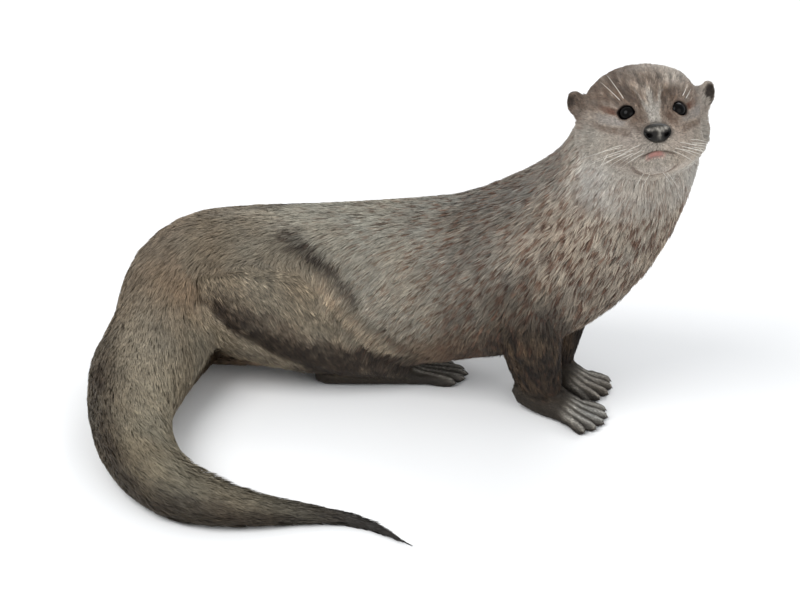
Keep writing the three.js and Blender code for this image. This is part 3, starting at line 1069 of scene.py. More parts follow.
faceMarks = {
    "brows": [  # how strong, middle and size in millimetres, and whether on both sides
        (0.95, (42, 22, 32), (14, 14, 8), True),
        (0.6, (22, 3, 41), (15, 12, 8), True),
        (0.7, (39, 16, 29), (12, 7, 7), False),
        (0.8, (42, 11, 29), (14, 6, 9), True),
        (0.65, (6, -47, 20), (18, 13, 8), False),
    ],
    "darkCrown": (0.55, (-2, -13, 47), (15, 11, 7), False),
    "bars": [  # colour, how strong, from and to, height, half its width and whether in strokes
        ("redBrown", 0.97, (23, 42), 18.8, 2.5, True),
        ("underEye", 0.9, (22, 47), 12.0, 3.5, False),
        ("stripe", 0.62, (19, 49), 5.0, 2.6, True),
    ],
    "rays": 19,  # of the pale bridge, in a whole turn round its root
}


def spot(face, strength, place, size, bothSides=True):
    # strongest at a place of the face and falling off round it
    if bothSides:
        face = np.stack([face[:, 0], np.abs(face[:, 1]), face[:, 2]], axis=1)
    return strength * np.exp(-(((face - np.array(place)) / np.array(size)) ** 2).sum(1))


def bar(out, z, ends, height, half):
    # a level stroke on the side of the face, between two distances from its middle
    return bell(z - height, half, 4) * smooth(ends[0], ends[0] + 5, out) * (
        smooth(ends[1], ends[1] - 8, out))


def bridgeShare(points, face):
    # the pale bridge of the nose, opening in rays over the forehead
    x, y, z = face.T
    rise = np.clip((z - 16) / 26, 0, 1.3)
    across = np.abs(y) / (5.2 + 18 * rise ** 1.3)
    turn = np.arctan2(np.abs(y), z - 4)
    rays = smooth(0.1, 0.8, np.cos(turn * faceMarks["rays"] + 1.2 * bumps(points, 0.02, 5)))
    pale = smooth(1.15, 0.7, across) * smooth(8, 11, z) * smooth(24, 40, x)
    pale = pale * np.where(rise < 0.14, 1, 1 - smooth(0.14, 0.45, rise) * (1 - rays))
    return pale * (1 - 0.5 * smooth(-3, -9, y) * smooth(0.15, 0.4, rise)) * smooth(1.3, 0.6, rise)


def browColours(points, face, strokes, s=faceMarks):
    # the crown and the dark brows, stronger on the right, with fine rays over the forehead
    x, y, z = face.T
    colour = marked(
        plain(colours["crown"], len(points)),
        ("crownPale", 0.85 * smooth(26, 44, z) * smooth(0.1, 0.8, bumps(points, 0.05, 3))),
        ("cheek", smooth(8, -4, z) * smooth(-45, -10, x)),
        ("throat", 0.45 * smooth(-16, -34, z) * smooth(50, 30, x)),
        ("muzzle", spot(face, 1, (60, 16, -4), (15, 16, 12))),
        ("chin", smooth(-20, -27, z) * smooth(30, 50, x)),
        ("brow", 0.9 * smooth(-4, -24, y) * smooth(20, 30, z) * strokes),
        *[("brow", spot(face, *mark) * strokes) for mark in s["brows"]],
        ("brow", spot(face, *s["darkCrown"])),
        ("crownPale", 0.6 * smooth(8, 24, y) * smooth(30, 38, z)),
        ("crownPale", 0.55 * smooth(38, 45, y) * smooth(8, 16, z)),
    )
    fan = np.stack([np.arctan2(y, z - 2) * 16, np.hypot(y, z - 2) * 0.14, 0 * x], axis=1)
    fan = np.clip(bumps(fan, 2.6, 61, 2), -1, 1) * smooth(13, 21, z) * smooth(-5, 20, x)
    return colour * (1 + 0.3 * fan)[:, None]


def headColours(points, s=faceMarks):
    face = inHead(points) / mm
    x, y, z = face.T
    strokes = 0.8 + 0.4 * bumps(face * mm * (0.5, 1.3, 1), 0.009, 7, 2)
    bars = [
        (name, strength * bar(np.abs(y), z, *place) * (x > 15) * (strokes if stroked else 1))
        for name, strength, *place, stroked in s["bars"]
    ]
    # painted shade along the round line under the chin
    jaw = jawLine(face, 0.15) * smooth(-20, -26, z) * smooth(34, 46, x)
    # a darker patch under the jaw on its right side
    chinSidePatch = bell(y + 30, 8) * bell(z + 21, 4.5) * (x > 30)
    below, reach = mouthMeasure(face)
    colour = marked(
        browColours(points, face, strokes),
        ("mask", spot(face, 0.95, (53, 13, 12), (14, 8, 11)) * strokes),
        ("stripe", spot(face, 0.6, (22, 42, 24), (24, 17, 9)) * strokes),
        *bars,
        ("stripe", 0.48 * jaw),
        ("bridge", 0.9 * bridgeShare(points, face)),
        ("stripe", 0.4 * chinSidePatch * strokes),
        # painted shade in the mouth's crease, fainter on the head's left side
        ("stripe", (0.95 - 0.35 * (y > 0)) * reach * bell(below, 1.3)),
        ("lip", lipShare(face, below, reach)),
    )
    for side in (1, -1):
        edge = lidMeasure(face * mm, side)[1]
        colour = marked(
            colour,
            ("stripe", 0.6 * smooth(1.4, 1.15, edge)),
            ("lidRim", smooth(1.13, 1.05, edge)),
        )
    return colour


def earColours(points, normals):
    face = inHead(points) / mm
    inner = smooth(0.1, 0.5, normals @ headAxes[0])
    colour = plain(colours["earBack"], len(points))
    for name, side in zip(flesh["ear"], (1, -1)):
        picked = face[:, 1] * side > 0
        ear = withEars(inHead(middle(name)[None]), np.ones(1))[0] / mm
        across, up = (face - ear)[:, 1:].T
        # painted shade in the hollow of each ear; the right ear's inner face is darker too
        if name == "ear_left":
            wide = 5.2 - 3 * np.clip(-up / 9, 0, 1)
            deep = np.hypot((across + 0.3) / wide, (up + 1.2) / 9)
            rim = smooth(5.5, 7.5, np.hypot(across, up))
            marks = [("earRim", 0.8 * rim), ("earHollowShade", inner * smooth(1.15, 0.85, deep))]
        else:
            deep = smooth(6.2, 3.2, np.hypot(across + 3.4, up - 0.8))
            marks = [("stripe", 0.6 * inner), ("earHollowShade", 0.85 * inner * deep)]
        colour = marked(colour, *[(mark, share * picked) for mark, share in marks])
    return colour


def legColours(points):
    fore = smooth(0.03, 0.07, points[:, 0])
    strokes = armStrokes(points)
    colour = marked(
        plain(colours["thigh"], len(points)),
        ("armBrown", fore),
        ("foreLeg", fore * smooth(0.15, 0.07, points[:, 2])),
    )
    dark = np.clip(0.3 + strokes * 1.6, 0, 1) * fore
    colour = marked(thighMarks(colour, points), ("armDark", 0.75 * dark))
    return colour * (1 + 0.2 * fore * np.maximum(-strokes, 0))[:, None]


toeSettings = {
    "ridge": 3.0 * mm,  # how wide the painted highlight along the top of each toe is
    "from": 0.38,  # share of the way from the back of the paw where the ridges begin
}


def pawColours(points, normals, s=toeSettings):
    colour = plain(colours["paw"], len(points))
    for limb in limbs:
        low, high = corners("paw_" + limb)
        near = ((points > low - 0.01) & (points < high + 0.01)).all(1)
        claws = clawMiddles(limb)
        centre = (low + high) / 2
        start = centre + (centre - claws.mean(0)) * 0.55
        here = points[near]
        off = np.array([offSegment(here, start, claw)[:, :2] for claw in claws])
        far = np.linalg.norm(off, axis=2).min(0)
        run = ((here - start) @ (claws.mean(0) - start)) / ((claws.mean(0) - start) ** 2).sum()
        fan = smooth(s["from"], s["from"] + 0.25, run)
        ridge = bell(far, s["ridge"])
        # painted shade between the toes, and a painted highlight along the top of each toe where it faces up
        colour[near] = marked(
            colour[near],
            ("toeGapShade", 0.6 * fan * (1 - ridge)),
            ("toe", fan * ridge * smooth(0, 0.5, normals[near, 2])),
        )
    return colour


def coatColours(points, normals, weights, along, around):
    table = {
        "head": headColours(points),
        "ear": earColours(points, normals),
        "trunk": trunkColours(points, along, around),
        "tail": tailColours(points, along, around),
        "leg": legColours(points),
        "paw": pawColours(points, normals),
    }
    colour = sum(table[kind] * shareOf(kind, weights)[:, None] for kind in kinds)
    patches = 1 + 0.05 * bumps(points, 0.06, 11) + 0.04 * bumps(points, 0.018, 12)
    warm = 0.02 * bumps(points, 0.09, 13)[:, None] * np.array((1, 0, -1))
    return np.clip(colour * (patches[:, None] + warm), 0, 255)


skinColours = coatColours(skinPoints, skinNormals, skinMarks, skinAlong, skinAround)
print("markings laid out")


def newNode(tree, kind, values={}):
    made = tree.nodes.new("ShaderNode" + kind)
    for name, value in values.items():
        made.inputs[name].default_value = value
    return made


def joinNodes(tree, *links):
    for start, output, end, into in links:
        tree.links.new(start.outputs[output], end.inputs[into])


def finish(name, roughness, shine, scale, low, high):
    # takes the colours laid on the points, broken up by a fine grain of this scale and range
    made = bpy.data.materials.new(name)
    made.use_nodes = True
    tree = made.node_tree
    shader = tree.nodes["Principled BSDF"]
    shader.inputs["Roughness"].default_value = roughness
    shader.inputs["Specular IOR Level"].default_value = shine
    held = newNode(tree, "Attribute")
    held.attribute_name = "coatColour"
    place = newNode(tree, "TexCoord")
    grain = newNode(tree, "TexNoise", {"Scale": scale, "Detail": 3})
    spread = newNode(tree, "MapRange", {"From Min": 0.3, "From Max": 0.7, "To Min": low, "To Max": high})
    mix = newNode(tree, "Mix", {0: 1})
    mix.data_type = "RGBA"
    mix.blend_type = "MULTIPLY"
    joinNodes(
        tree,
        (place, "Object", grain, "Vector"),
        (grain, "Fac", spread, "Value"),
        (held, "Color", mix, 6),
        (spread, "Result", mix, 7),
        (mix, 2, shader, "Base Color"),
    )
    return made, tree, shader, grain


def bumped(tree, shader, source, output, strength, distance):
    bump = newNode(tree, "Bump", {"Strength": strength, "Distance": distance})
    joinNodes(tree, (source, output, bump, "Height"), (bump, "Normal", shader, "Normal"))


def addPiece(name, points, faces, colour, made, slot, *replaced):
    mesh = meshOf(name, points, faces)
    pointColours(mesh, colour)
    mesh.materials.append(made)
    piece = newObject(name, mesh)
    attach(piece, "root")
    if replaced:
        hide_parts(*replaced)
    return mesh


def dressSkin(s):
    made, tree, shader, grain = finish("skinFinish", *s["finish"])
    bumped(tree, shader, grain, "Fac", *s["bump"])
    skin.data.materials.append(made)
    # the skin takes the coat's colours darkened, as painted shade under the tufts
    pointColours(skin.data, skinColours * s["dark"])
    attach(skin, "root")
    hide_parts(*fleshNodes)


dressSkin(skinSettings)


coatSettings = {
    "perSquareMm": {"head": 2.2, "ear": 3.2, "trunk": 0.82, "tail": 0.62, "leg": 1.0, "paw": 2.0},
    "length": {"head": 6, "ear": 2.8, "trunk": 11.5, "tail": 12, "leg": 8, "paw": 2.4},
    "width": {"head": 0.55, "ear": 0.45, "trunk": 0.8, "tail": 0.85, "leg": 0.7, "paw": 0.42},
    "rise": {"head": 2.2, "ear": 0.8, "trunk": 3.2, "tail": 2.9, "leg": 2.3, "paw": 0.4},
    "muzzle": {"length": 2.4, "width": 0.42, "rise": 0.8},  # in place of the head's
    "seed": 41,
    "turn": 0.16,  # how far single tufts wander from the lay, in radians
    "roll": 0.35,  # how far they tip to one side, in radians
    "lockEvery": 13,  # tufts in a lock
    "lockPull": 0.42,  # share of the way that tips lean towards the middle of their lock
    "lockReach": 6 * mm,
    "shag": {"pull": 0.4, "length": 0.3, "rise": 0.55, "uneven": 0.02, "contrast": -0.25},
    "ruff": {"shag": 0.8, "length": 4.5, "rise": 0.9},  # behind the cheeks
    "sleek": {"contrast": 0.35, "rise": 0.2},  # how much less along the back
    "tailTip": {"length": 0.45, "rise": 0.65},  # how much less there
    "lids": 0.68,  # how much shorter and closer at the lids
    "noseSize": (9.5, 13.2, 9.2),  # bare round the nose, in millimetres
    "darkLocks": 0.17,  # share of the long locks that are dark
    "dark": 0.58,
    "fringe": {"at": (0.50, 0.72, 0.70), "size": (28, 14, 14), "rise": 10},  # on the tail's inner side
    "rootShadeTipLight": (0.71, 1.0, 1.14),  # painted shade at the root and painted light at the tip, as shares of the colour at the root, the middle and the tip
    "uneven": 0.11,  # how much single tufts differ in shade
    "unevenLocks": 0.06,
    "contrast": {"head": 0.7, "ear": 0.7, "trunk": 0.85, "tail": 0.55, "leg": 1.3, "paw": 1.0},
    "mostTufts": 64000,  # in one piece
    "quick": {"number": 0.3, "width": 1.7},
    "grain": (420, 0.86, 1.12),
    "parts": {  # the flesh each part of the coat grows on, its slot, roughness and shine
        "face": (flesh["head"] + flesh["ear"], "coat_face", 0.6, 0.35),
        "front": (["neck", "chest"], "coat", 0.58, 0.28),
        "back": (["loin", "hips"], "coat", 0.58, 0.28),
        "tail": (flesh["tail"], "coat_tail", 0.58, 0.28),
        "legs": (flesh["leg"] + flesh["paw"], "coat_dark", 0.6, 0.25),
    },
}


def bendOf(ways):
    # how sharply the skin bends along the lay, per metre
    pairs = skinNet[0]
    total = np.zeros(len(ways))
    weight = np.full(len(ways), 1e-12)
    for a, b in ((pairs[:, 0], pairs[:, 1]), (pairs[:, 1], pairs[:, 0])):
        step = ((skinPoints[b] - skinPoints[a]) * ways[a]).sum(1)
        turn = ((skinNormals[b] - skinNormals[a]) * ways[a]).sum(1)
        total += np.bincount(a, turn * step, len(ways))
        weight += np.bincount(a, step * step, len(ways))
    bend = np.clip(total / weight, -40, 60)[:, None]
    for _ in range(4):
        bend = averaged(bend, skinNet)
    return bend[:, 0]


def thinnedAtFace(fields, face, onHead, s):
    # shorter and closer round the eyes, and bare on the lips, the lids and the nose
    below, reach = mouthMeasure(face)
    bare = (lipShare(face, below, reach) > 0.45) | ((reach > 0.3) & (np.abs(below) < 0.8))
    for side in (1, -1):
        edge = lidMeasure(face * mm, side)[1]
        bare |= (onHead > 0.5) & (edge < 1.1)
        short = 1 - s["lids"] * smooth(2.3, 1.2, edge) * onHead
        fields["length"] *= short
        fields["rise"] *= short
        fields["number"] *= 2 - short
    noseAt = np.array(headSettings["noseAt"]) / mm
    bare |= np.linalg.norm((face - noseAt) / s["noseSize"], axis=1) < 1.0
    fields["number"][bare] = 0


def coatFields(s):
    # length, width and the rest of the coat at each point of the skin
    face = inHead(skinPoints) / mm
    onHead, onTrunk, onTail = (shareOf(kind, skinWeights) for kind in ("head", "trunk", "tail"))
    muzzle = smooth(18, 62, face[:, 0]) * onHead
    top = np.cos(skinAround)
    fields = {}
    for what in ("length", "width", "rise"):
        fields[what] = perKind(skinWeights, s[what])
        fields[what] += (s["muzzle"][what] - fields[what]) * muzzle
    ruff = smooth(24, -4, face[:, 0]) * smooth(24, 4, face[:, 2]) * onHead
    shag = np.maximum(shagOf(skinPoints, skinAlong, top, skinWeights), s["ruff"]["shag"] * ruff)
    for what in ("length", "rise"):
        fields[what] *= 1 + s["shag"][what] * shag
        fields[what] += s["ruff"][what] * ruff
    sleek = smooth(0.1, 0.8, top) * smooth(bodyStarts["chest"] + 0.05, bodyStarts["loin"], skinAlong)
    sleek = sleek * onTrunk
    throat = throatShare(skinPoints, skinAlong, top) * onTrunk
    fields["contrast"] = perKind(skinWeights, s["contrast"]) + s["shag"]["contrast"] * shag
    fields["contrast"] *= (1 - 0.5 * throat) * (1 - s["sleek"]["contrast"] * sleek)
    fields["rise"] *= 1 - s["sleek"]["rise"] * sleek
    low, high = corners("tail_end")
    fringe = (skinPoints - low) / (high - low) - s["fringe"]["at"]
    fringe = np.exp(-((fringe * (high - low) / mm / s["fringe"]["size"]) ** 2).sum(1))
    fields["rise"] += s["fringe"]["rise"] * fringe
    fields["shag"] = np.maximum(shag, fringe)
    ahead = np.maximum(smooth(bodyStarts["loin"] + 0.05, bodyStarts["chest"] + 0.04, skinAlong), fringe)
    fields["dark"] = s["dark"] * fields["shag"] ** 1.5 * (0.3 + 0.7 * ahead)
    fields["number"] = perKind(skinWeights, s["perSquareMm"]) * (1 + 0.9 * muzzle)
    tip = smooth(bodyStarts["tail_tip"] - 0.02, bodyAlong[-1] - 0.02, skinAlong) * onTail
    for what in ("length", "rise"):
        fields[what] = fields[what] * (1 - s["tailTip"][what] * tip)
    thinnedAtFace(fields, face, onHead, s)
    fields["number"] *= smooth(0.2 * mm, 1.2 * mm, skinPoints[:, 2])
    return fields


def sampled(number, rng):
    # picks faces by area and number, and a place on each
    held = skinPoints[skinFaces]
    size = np.linalg.norm(np.cross(held[:, 1] - held[:, 0], held[:, 2] - held[:, 0]), axis=1)
    wanted = size / 2 / mm ** 2 * number[skinFaces].mean(1)
    total = np.cumsum(wanted)
    count = int(total[-1])
    at = (np.arange(count) + rng.random(count)) * total[-1] / count
    face = np.minimum(np.searchsorted(total, at), len(skinFaces) - 1)
    a, b = np.sqrt(rng.random(count)), rng.random(count)
    return face, np.stack([1 - a, a * (1 - b), a * b], axis=1)


def lockOf(root, every, rng):
    # the tuft in the middle of each tuft's lock
    heads = rng.choice(len(root), len(root) // every, replace=False)
    tree = kdtree.KDTree(len(heads))
    for i, h in enumerate(heads):
        tree.insert(root[h], i)
    tree.balance()
    return heads[np.array([tree.find(p)[1] for p in root])]


def tuftColours(here, root, normal, lock, fields, s, rng):
    around = np.arctan2(here(np.sin(skinAround)), here(np.cos(skinAround)))
    colour = coatColours(root, normal, here(skinMarks), here(skinAlong), around)
    dark = here(fields["dark"]) * (rng.random(len(root))[lock] < s["darkLocks"])
    colour = marked(colour, ("streak", dark))
    shade = s["uneven"] * rng.normal(size=len(root))
    uneven = s["unevenLocks"] + s["shag"]["uneven"] * here(fields["shag"])
    shade += uneven * rng.normal(size=len(root))[lock]
    # painted shade darkens each tuft's root, and painted light brightens its tip
    rootShadeTipLight = np.log(np.array(s["rootShadeTipLight"])[[0, 0, 1, 1, 2]])
    shade = np.exp(here(fields["contrast"])[:, None] * (shade[:, None] + rootShadeTipLight[None]))
    return np.clip(colour[:, None] * shade[:, :, None], 0, 255)


def growTufts(s):
    # each tuft has five corners: two at its root, two at its middle and its tip
    rng = np.random.default_rng(s["seed"])
    fields = coatFields(s)
    quick = {"number": 1.0, "width": 1}
    face, share = sampled(fields["number"] * quick["number"], rng)
    count = len(face)

    def here(values):
        return (values[skinFaces[face]] * share.reshape(count, 3, *[1] * (values.ndim - 1))).sum(1)

    root, normal = here(skinPoints), unit(here(skinNormals))
    lay = unit(flatTo(here(skinLay), normal))
    across = np.cross(normal, lay)
    wander = s["turn"] * (rng.normal(size=count) + 0.9 * bumps(root, 0.022, 21))
    lay = lay * np.cos(wander)[:, None] + across * np.sin(wander)[:, None]
    across = np.cross(normal, lay)
    length = here(fields["length"]) * rng.uniform(0.75, 1.2, count) * mm
    width = here(fields["width"]) * rng.uniform(0.8, 1.25, count) * mm * quick["width"]
    rise = here(fields["rise"]) * rng.uniform(0.4, 1.05, count) * mm
    bend = here(bendOf(skinLay))

    def reached(far, lift):
        return root + lay * far[:, None] + normal * (lift - bend * far ** 2 / 2)[:, None]

    middles, tips = reached(0.5 * length, 0.72 * rise), reached(length, rise)
    lock = lockOf(root, s["lockEvery"], rng)
    pull = tips[lock] - tips
    pull = pull - lay * (pull * lay).sum(1)[:, None] * 0.8
    near = bell(np.linalg.norm(root[lock] - root, axis=1), s["lockReach"])
    pull = pull * ((s["lockPull"] + s["shag"]["pull"] * here(fields["shag"])) * near)[:, None]
    tips = tips + pull
    middles = middles + pull * 0.4
    roll = rng.normal(size=count) * s["roll"]
    half = (across * np.cos(roll)[:, None] + normal * np.sin(roll)[:, None]) * (width / 2)[:, None]
    low = root - normal * 0.3 * mm
    points = np.stack([low - half, low + half, middles - half * 0.8, middles + half * 0.8, tips], axis=1)
    points[:, :, 2] = np.maximum(points[:, :, 2], 0.3 * mm)
    colour = tuftColours(here, root, normal, lock, fields, s, rng)
    places = (skinMap[face] * share[:, :, None]).sum(1)
    return {"face": face, "points": points, "colour": colour, "map": places}


# where a tuft's corners lie in its small patch of the map, and its three faces
tuftPatch = np.array([(-1, -1), (1, -1), (-1, 0), (1, 0), (0, 1)]) * 0.0015
tuftFaces = np.array([(0, 1, 3), (0, 3, 2), (2, 3, 4)])


def tuftPiece(name, tufts, picked, made, slot):
    points = tufts["points"][picked].reshape(-1, 3)
    faces = (np.arange(len(picked))[:, None, None] * 5 + tuftFaces[None]).reshape(-1, 3)
    mesh = addPiece(name, points, faces, tufts["colour"][picked].reshape(-1, 3), made, slot)
    layer = mesh.uv_layers.new(name="OFBake")
    places = (tufts["map"][picked][:, None] + tuftPatch[None]).reshape(-1, 2)
    layer.data.foreach_set("uv", np.clip(places, 0, 1)[faces.ravel()].astype(np.float32).ravel())


def makeCoat(s):
    tufts = growTufts(s)
    owners = np.array(skinOwners)[skinFaces[tufts["face"], 0]]
    owners[np.isin(owners, ["eye_left", "eye_right", "nose"])] = "head"
    for part, (grownOn, slot, roughness, shine) in s["parts"].items():
        picked = np.flatnonzero(np.isin(owners, grownOn))
        made = finish("coat" + part.title(), roughness, shine, *s["grain"])[0]
        pieces = np.array_split(picked, max(1, math.ceil(len(picked) / s["mostTufts"])))
        for i, piece in enumerate(pieces):
            tuftPiece("coat_%s_%d" % (part, i + 1), tufts, piece, made, slot)
    print("coat of", len(owners), "tufts")


makeCoat(coatSettings)


def roundForm(level):
    form = bmesh.new()
    bmesh.ops.create_icosphere(form, subdivisions=level, radius=1)
    points = np.array([v.co for v in form.verts])
    faces = np.array([[v.index for v in f.verts] for f in form.faces])
    form.free()
    return points, faces


irisSettings = {
    "pupil": (0.30, 0.36),  # turns from the middle of the eye, in radians
    "iris": (0.62, 0.72),
    "swell": 0.008,  # how much further the front stands out
    "pupilColour": (4, 4, 4),
    "irisColour": (8, 6, 5),
    "rimColour": (5, 4, 4),
    "finish": (0.13, 0.09, 2600, 0.7, 1.3),
}


def makeEyes(s, iris):
    made = finish("eyeFinish", *iris["finish"])[0]
    ball, faces = roundForm(5)
    turn = np.arccos(np.clip(ball[:, 0], -1, 1))
    swell = 1 + iris["swell"] * smooth(1.0, 0.0, turn)
    colour = plain(iris["irisColour"], len(ball))
    colour = mixed(colour, iris["pupilColour"], 1 - smooth(*iris["pupil"], turn))
    colour = mixed(colour, iris["rimColour"], smooth(*iris["iris"], turn))
    for side, name in ((1, "eye_left"), (-1, "eye_right")):
        start, axes = eyeFrame(side)
        points = fromHead((ball * swell[:, None] * s["radius"]) @ axes + start)
        addPiece(name + "_ball", points, faces, colour, made, "eye", name)


makeEyes(eyeSettings, irisSettings)


noseSettings = {
    "half": (8.2, 12.1, 8.3),  # deep, wide and high, in millimetres
    "drop": 0.8 * mm,
    "square": 0.82,
    "narrow": 0.30,
    "slant": 0.22,
    "nostril": {"at": (7.2, -0.8), "size": 2.6, "deep": 4.0},
    "slit": {"to": (11.6, 2.4), "size": 1.3, "deep": 2.0},
    "groove": {"size": 0.8, "deep": 0.8},
    "wing": {"at": (8.2, 2.6), "size": 3.6, "out": 0.9},
    "pebbles": {"size": 0.0016, "high": 0.07},
    "patches": [  # painted highlights on the pad: where, and half the width and height
        ((-1.0, 5.2), (4.6, 1.5)),
        ((2.8, 3.4), (2.2, 1.8)),
        ((-7.6, 4.4), (2.4, 1.2)),
        ((7.4, 5.2), (2.8, 1.3)),
        ((0.6, -0.8), (1.7, 3.2)),
    ],
    "shade": ((8.2, 0.0), (4.6, 3.4)),  # painted shade round the nostrils
    "colour": (25, 23, 20),
    "glintColour": (156, 151, 142),
    "lowColour": (42, 40, 33),
    "darkColour": (5, 4, 4),
    "finish": (0.4, 0.2, 700, 0.8, 1.25),
    "cells": 1100,
    "bump": (0.35, 0.0003),
}


def noseForm(s):
    # the pad in millimetres, and the painted shade of each point in a nostril, a slit, the groove and round
    # the nostrils
    ball, faces = roundForm(6)
    points = np.sign(ball) * np.abs(ball) ** s["square"] * s["half"]
    points[:, 1] *= 1 - s["narrow"] * smooth(1, -8, points[:, 2])
    points[:, 0] *= 1 - s["slant"] * smooth(2, 9, points[:, 2])
    front = smooth(0.15, 0.45, ball[:, 0])
    flat = np.abs(points[:, 1:] * (1, 0)) + points[:, 1:] * (0, 1)
    hole = bell(np.linalg.norm(flat - s["nostril"]["at"], axis=1), s["nostril"]["size"])
    slit = np.linalg.norm(offSegment(flat, s["nostril"]["at"], s["slit"]["to"]), axis=1)
    slit = bell(slit, s["slit"]["size"])
    groove = bell(points[:, 1], s["groove"]["size"]) * smooth(1, -3, points[:, 2])
    wings = bell(np.linalg.norm(flat - s["wing"]["at"], axis=1), s["wing"]["size"])
    deep = s["nostril"]["deep"] * hole + s["slit"]["deep"] * slit + s["groove"]["deep"] * groove
    points[:, 0] += front * (s["wing"]["out"] * wings - deep)
    pebbles = bumps(points * mm, s["pebbles"]["size"], 31, 2) * s["pebbles"]["high"]
    points += ball * (pebbles * (1 - np.clip(hole + slit, 0, 1)))[:, None]
    at, size = s["shade"]
    shade = 0.85 * front * bell(np.linalg.norm((flat - at) / size, axis=1), 1)
    dark = np.maximum(np.clip(front * (1.3 * hole + 0.8 * slit + 0.3 * groove), 0, 1), shade)
    return points, faces, dark


def noseColour(points, dark, s):
    # painted highlights over the top of the pad, broken up unevenly
    glintBreakup = 0.8 + 0.35 * bumps(points * mm, 0.0035, 33)
    bent = np.stack([bumps(points * mm, 0.005, seed) for seed in (34, 35)], axis=1)
    bent = points[:, 1:] + 0.7 * bent
    high = sum(np.exp(-(((bent - at) / size) ** 2).sum(1)) for at, size in s["patches"])
    colour = mixed(plain(s["colour"], len(points)), s["glintColour"], np.clip(high, 0, 1) * glintBreakup)
    colour = mixed(colour, s["lowColour"], smooth(-4, -7, points[:, 2]))
    # painted shade in the nostrils, the slits and the groove
    return mixed(colour, s["darkColour"], dark)


def makeNose(s):
    points, faces, dark = noseForm(s)
    colour = noseColour(points, dark, s)
    made, tree, shader, _ = finish("noseFinish", *s["finish"])
    cells = newNode(tree, "TexVoronoi", {"Scale": s["cells"]})
    joinNodes(tree, (newNode(tree, "TexCoord"), "Object", cells, "Vector"))
    bumped(tree, shader, cells, "Distance", *s["bump"])
    place = np.array(headSettings["noseAt"]) - (0, 0, s["drop"])
    addPiece("nose_pad", fromHead(points * mm + place), faces, colour, made, "nose", "nose")


makeNose(noseSettings)
print("eyes and nose made")


def tubeOf(line, sizes, sides):
    # a closed tapering tube along a line
    line = np.asarray(line, float)
    ways = unit(np.gradient(line, axis=0))
    side = unit(np.cross(ways, (0.3, 0.2, 0.93)))
    rise = np.cross(side, ways)
    turns = np.arange(sides) * 2 * math.pi / sides
    rings = (line[:, None] + (side[:, None] * np.cos(turns)[None, :, None]
             + rise[:, None] * np.sin(turns)[None, :, None]) * np.asarray(sizes)[:, None, None])
    points = np.vstack([rings.reshape(-1, 3), line[:1], line[-1:]])
    faces = []
    for i in range(len(line) - 1):
        for j in range(sides):
            a, b = i * sides + j, i * sides + (j + 1) % sides
            faces += [(a, b, b + sides), (a, b + sides, a + sides)]
    start, end = len(points) - 2, len(points) - 1
    last = (len(line) - 1) * sides
    for j in range(sides):
        k = (j + 1) % sides
        faces += [(start, k, j), (end, last + j, last + k)]
    return points, np.array(faces)


clawSettings = {
    "base": (38, 34, 30),
    "tip": (66, 59, 50),
    "rings": 14,
    "sides": 12,
    "curve": 0.16,
    "length": 0.88,  # of its solid
    "thick": 0.86,
    "floor": 0.3 * mm,  # the lowest that a claw comes
    "finish": (0.32, 0.5, 1500, 0.85, 1.15),
}


def clawTube(name, paw, s):
    # along the longest way of the claw's solid, away from its paw
    solid = nodePoints(name)
    centre = solid.mean(0)
    way = np.linalg.svd(solid - centre)[2][0]
    if way @ (centre - paw) < 0:
        way = -way
    reach = (solid - centre) @ way
    thick = np.linalg.norm(solid - centre - reach[:, None] * way, axis=1)
    size = np.percentile(thick[reach < np.median(reach)], 80)
    t = np.linspace(0, 1, s["rings"])
    long = reach.max() - reach.min()
    line = centre + way * (reach.min() - 0.12 * long + t * long * s["length"])[:, None]
    line[:, 2] += s["curve"] * long * (np.sin(t * math.pi) - 0.5 * t)
    points, faces = tubeOf(line, size * s["thick"] * (1 - t ** 1.8) ** 0.75 + 0.05 * mm, s["sides"])
    points[:, 2] = np.maximum(points[:, 2], s["floor"])
    return points, faces, np.append(np.repeat(t, s["sides"]), (0, 1))


def makeClaws(s):
    made = finish("clawFinish", *s["finish"])[0]
    for limb in limbs:
        for i in range(1, 6):
            name = "claw_%s_%d" % (limb, i)
            points, faces, share = clawTube(name, middle("paw_" + limb), s)
            colour = mixed(plain(s["base"], len(points)), s["tip"], share)
            addPiece(name + "_horn", points, faces, colour, made, "claw", name)


makeClaws(clawSettings)
print("claws made")


whiskerSettings = {
    "pads": {  # rows on the muzzle: height, first turn, last turn, number, shortest and longest
        "top": (-4.5, 0.45, 0.9, 2, 18, 26),
        "upper": (-8, 0.36, 0.95, 4, 24, 36),
        "lower": (-11.5, 0.38, 0.9, 4, 22, 34),
    },
    "leftLonger": 1.2,
    "brows": [  # side, where, how far it leans out and its length
        (-1, (36, 24, 31), 0.48, 28),
        (-1, (36, 27, 29.5), 0.75, 23),
        (1, (36, 29, 27.5), 0.5, 13),
        (1, (35, 32.5, 25.5), 0.62, 11),
    ],
    "chin": [((56, 5, -30), 14), ((50, 9, -32), 18), ((44, 34, -14), 20)],  # where, and the length
    "thick": 0.22 * mm,
    "browThick": 1.4,  # times the others
    "sink": 0.8 * mm,  # how deep in the skin they start
    "rings": 12,
    "sides": 5,
    "seed": 77,
    "colour": (214, 209, 199),
    "finish": (0.4, 0.5, 300, 0.9, 1.1),
}


def onSkin(finder, fromPoint, way):
    # the place and normal where a ray from inside the head leaves the skin
    hit, normal, _, _ = finder.ray_cast(Vector(fromPoint), Vector(way))
    return np.array(hit), np.array(normal)


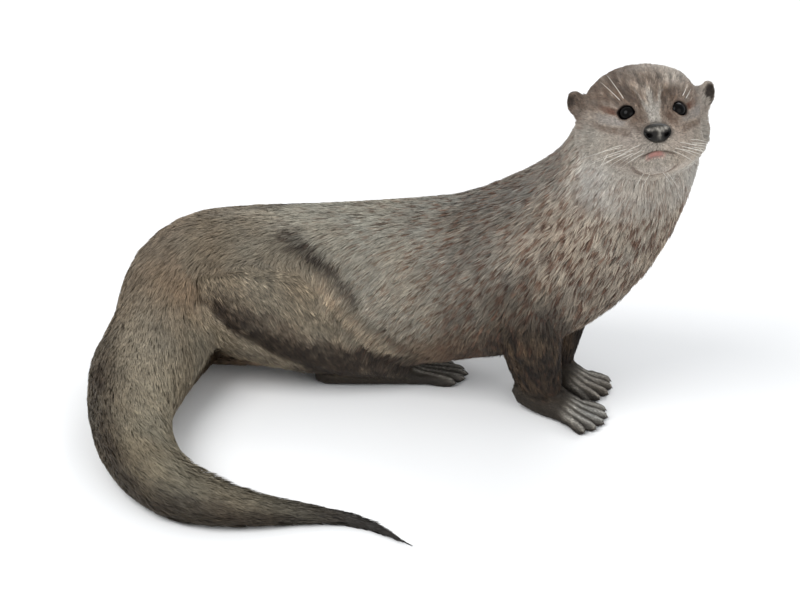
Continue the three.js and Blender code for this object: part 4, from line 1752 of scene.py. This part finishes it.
def padHairs(finder, s):
    # root, way, droop, length and thickness of each whisker on the muzzle
    rng = np.random.default_rng(s["seed"])
    hairs = []
    for height, first, last, number, shortest, longest in s["pads"].values():
        for side in (1, -1):
            for i in range(number):
                turn = first + (last - first) * (i + rng.uniform(-0.2, 0.2)) / max(1, number - 1)
                way = np.array((math.cos(turn), side * math.sin(turn), 0))
                base = fromHead(np.array((38, 0, height + rng.uniform(-1, 1))) * mm)
                root, normal = onSkin(finder, base, way @ headAxes)
                out = np.array((0.10 - 0.35 * turn, side * 1.0, -0.12 + 0.03 * height / 5))
                out = unit(out + 0.9 * inHead(headStart + normal) * (0.6, 0.5, 0.3)) @ headAxes
                droop = np.array((-0.42, side * 0.05, -0.22 - rng.uniform(0, 0.15))) @ headAxes
                length = (shortest + (longest - shortest) * (i + 0.5) / number) * rng.uniform(0.85, 1.1)
                length *= s["leftLonger"] if side > 0 else 1
                hairs.append((root, out, droop, length * mm, s["thick"]))
    return hairs


def loneHairs(finder, s):
    # the same for those over the eyes, under the chin and on the cheeks
    inside = fromHead(np.array((38, 0, 0)) * mm)
    placed = [
        (side, place, (0.05, side * lean, 0.9), (-0.55, side * 0.05, -0.05), length, s["browThick"])
        for side, place, lean, length in s["brows"]
    ]
    for side in (1, -1):
        for place, length in s["chin"]:
            placed.append((side, place, (0.25, side * 0.45, -0.5), (-0.4, 0, -0.3), length, 1))
    hairs = []
    for side, place, way, droop, length, thick in placed:
        aim = unit(fromHead(np.array(place) * (1, side, 1) * mm) - inside)
        root = onSkin(finder, inside, aim)[0]
        way, droop = unit(np.array(way)) @ headAxes, np.array(droop) @ headAxes
        hairs.append((root, way, droop, length * mm, thick * s["thick"]))
    return hairs


def makeWhiskers(s):
    finder = BVHTree.FromPolygons([Vector(p) for p in skinPoints], skinFaces.tolist())
    hairs = padHairs(finder, s) + loneHairs(finder, s)
    t = np.linspace(0, 1, s["rings"])
    allPoints, allFaces, count = [], [], 0
    for root, way, droop, length, thick in hairs:
        run = t[:, None]
        line = root - way * s["sink"] + way * length * run + droop * length * run ** 2
        points, faces = tubeOf(line, thick * (1 - 0.85 * t ** 1.3), s["sides"])
        allPoints.append(points)
        allFaces.append(faces + count)
        count += len(points)
    made = finish("whiskerFinish", *s["finish"])[0]
    colour = plain(s["colour"], count)
    addPiece("whiskers", np.vstack(allPoints), np.vstack(allFaces), colour, made, "whisker")
    print(len(hairs), "whiskers made")


makeWhiskers(whiskerSettings)
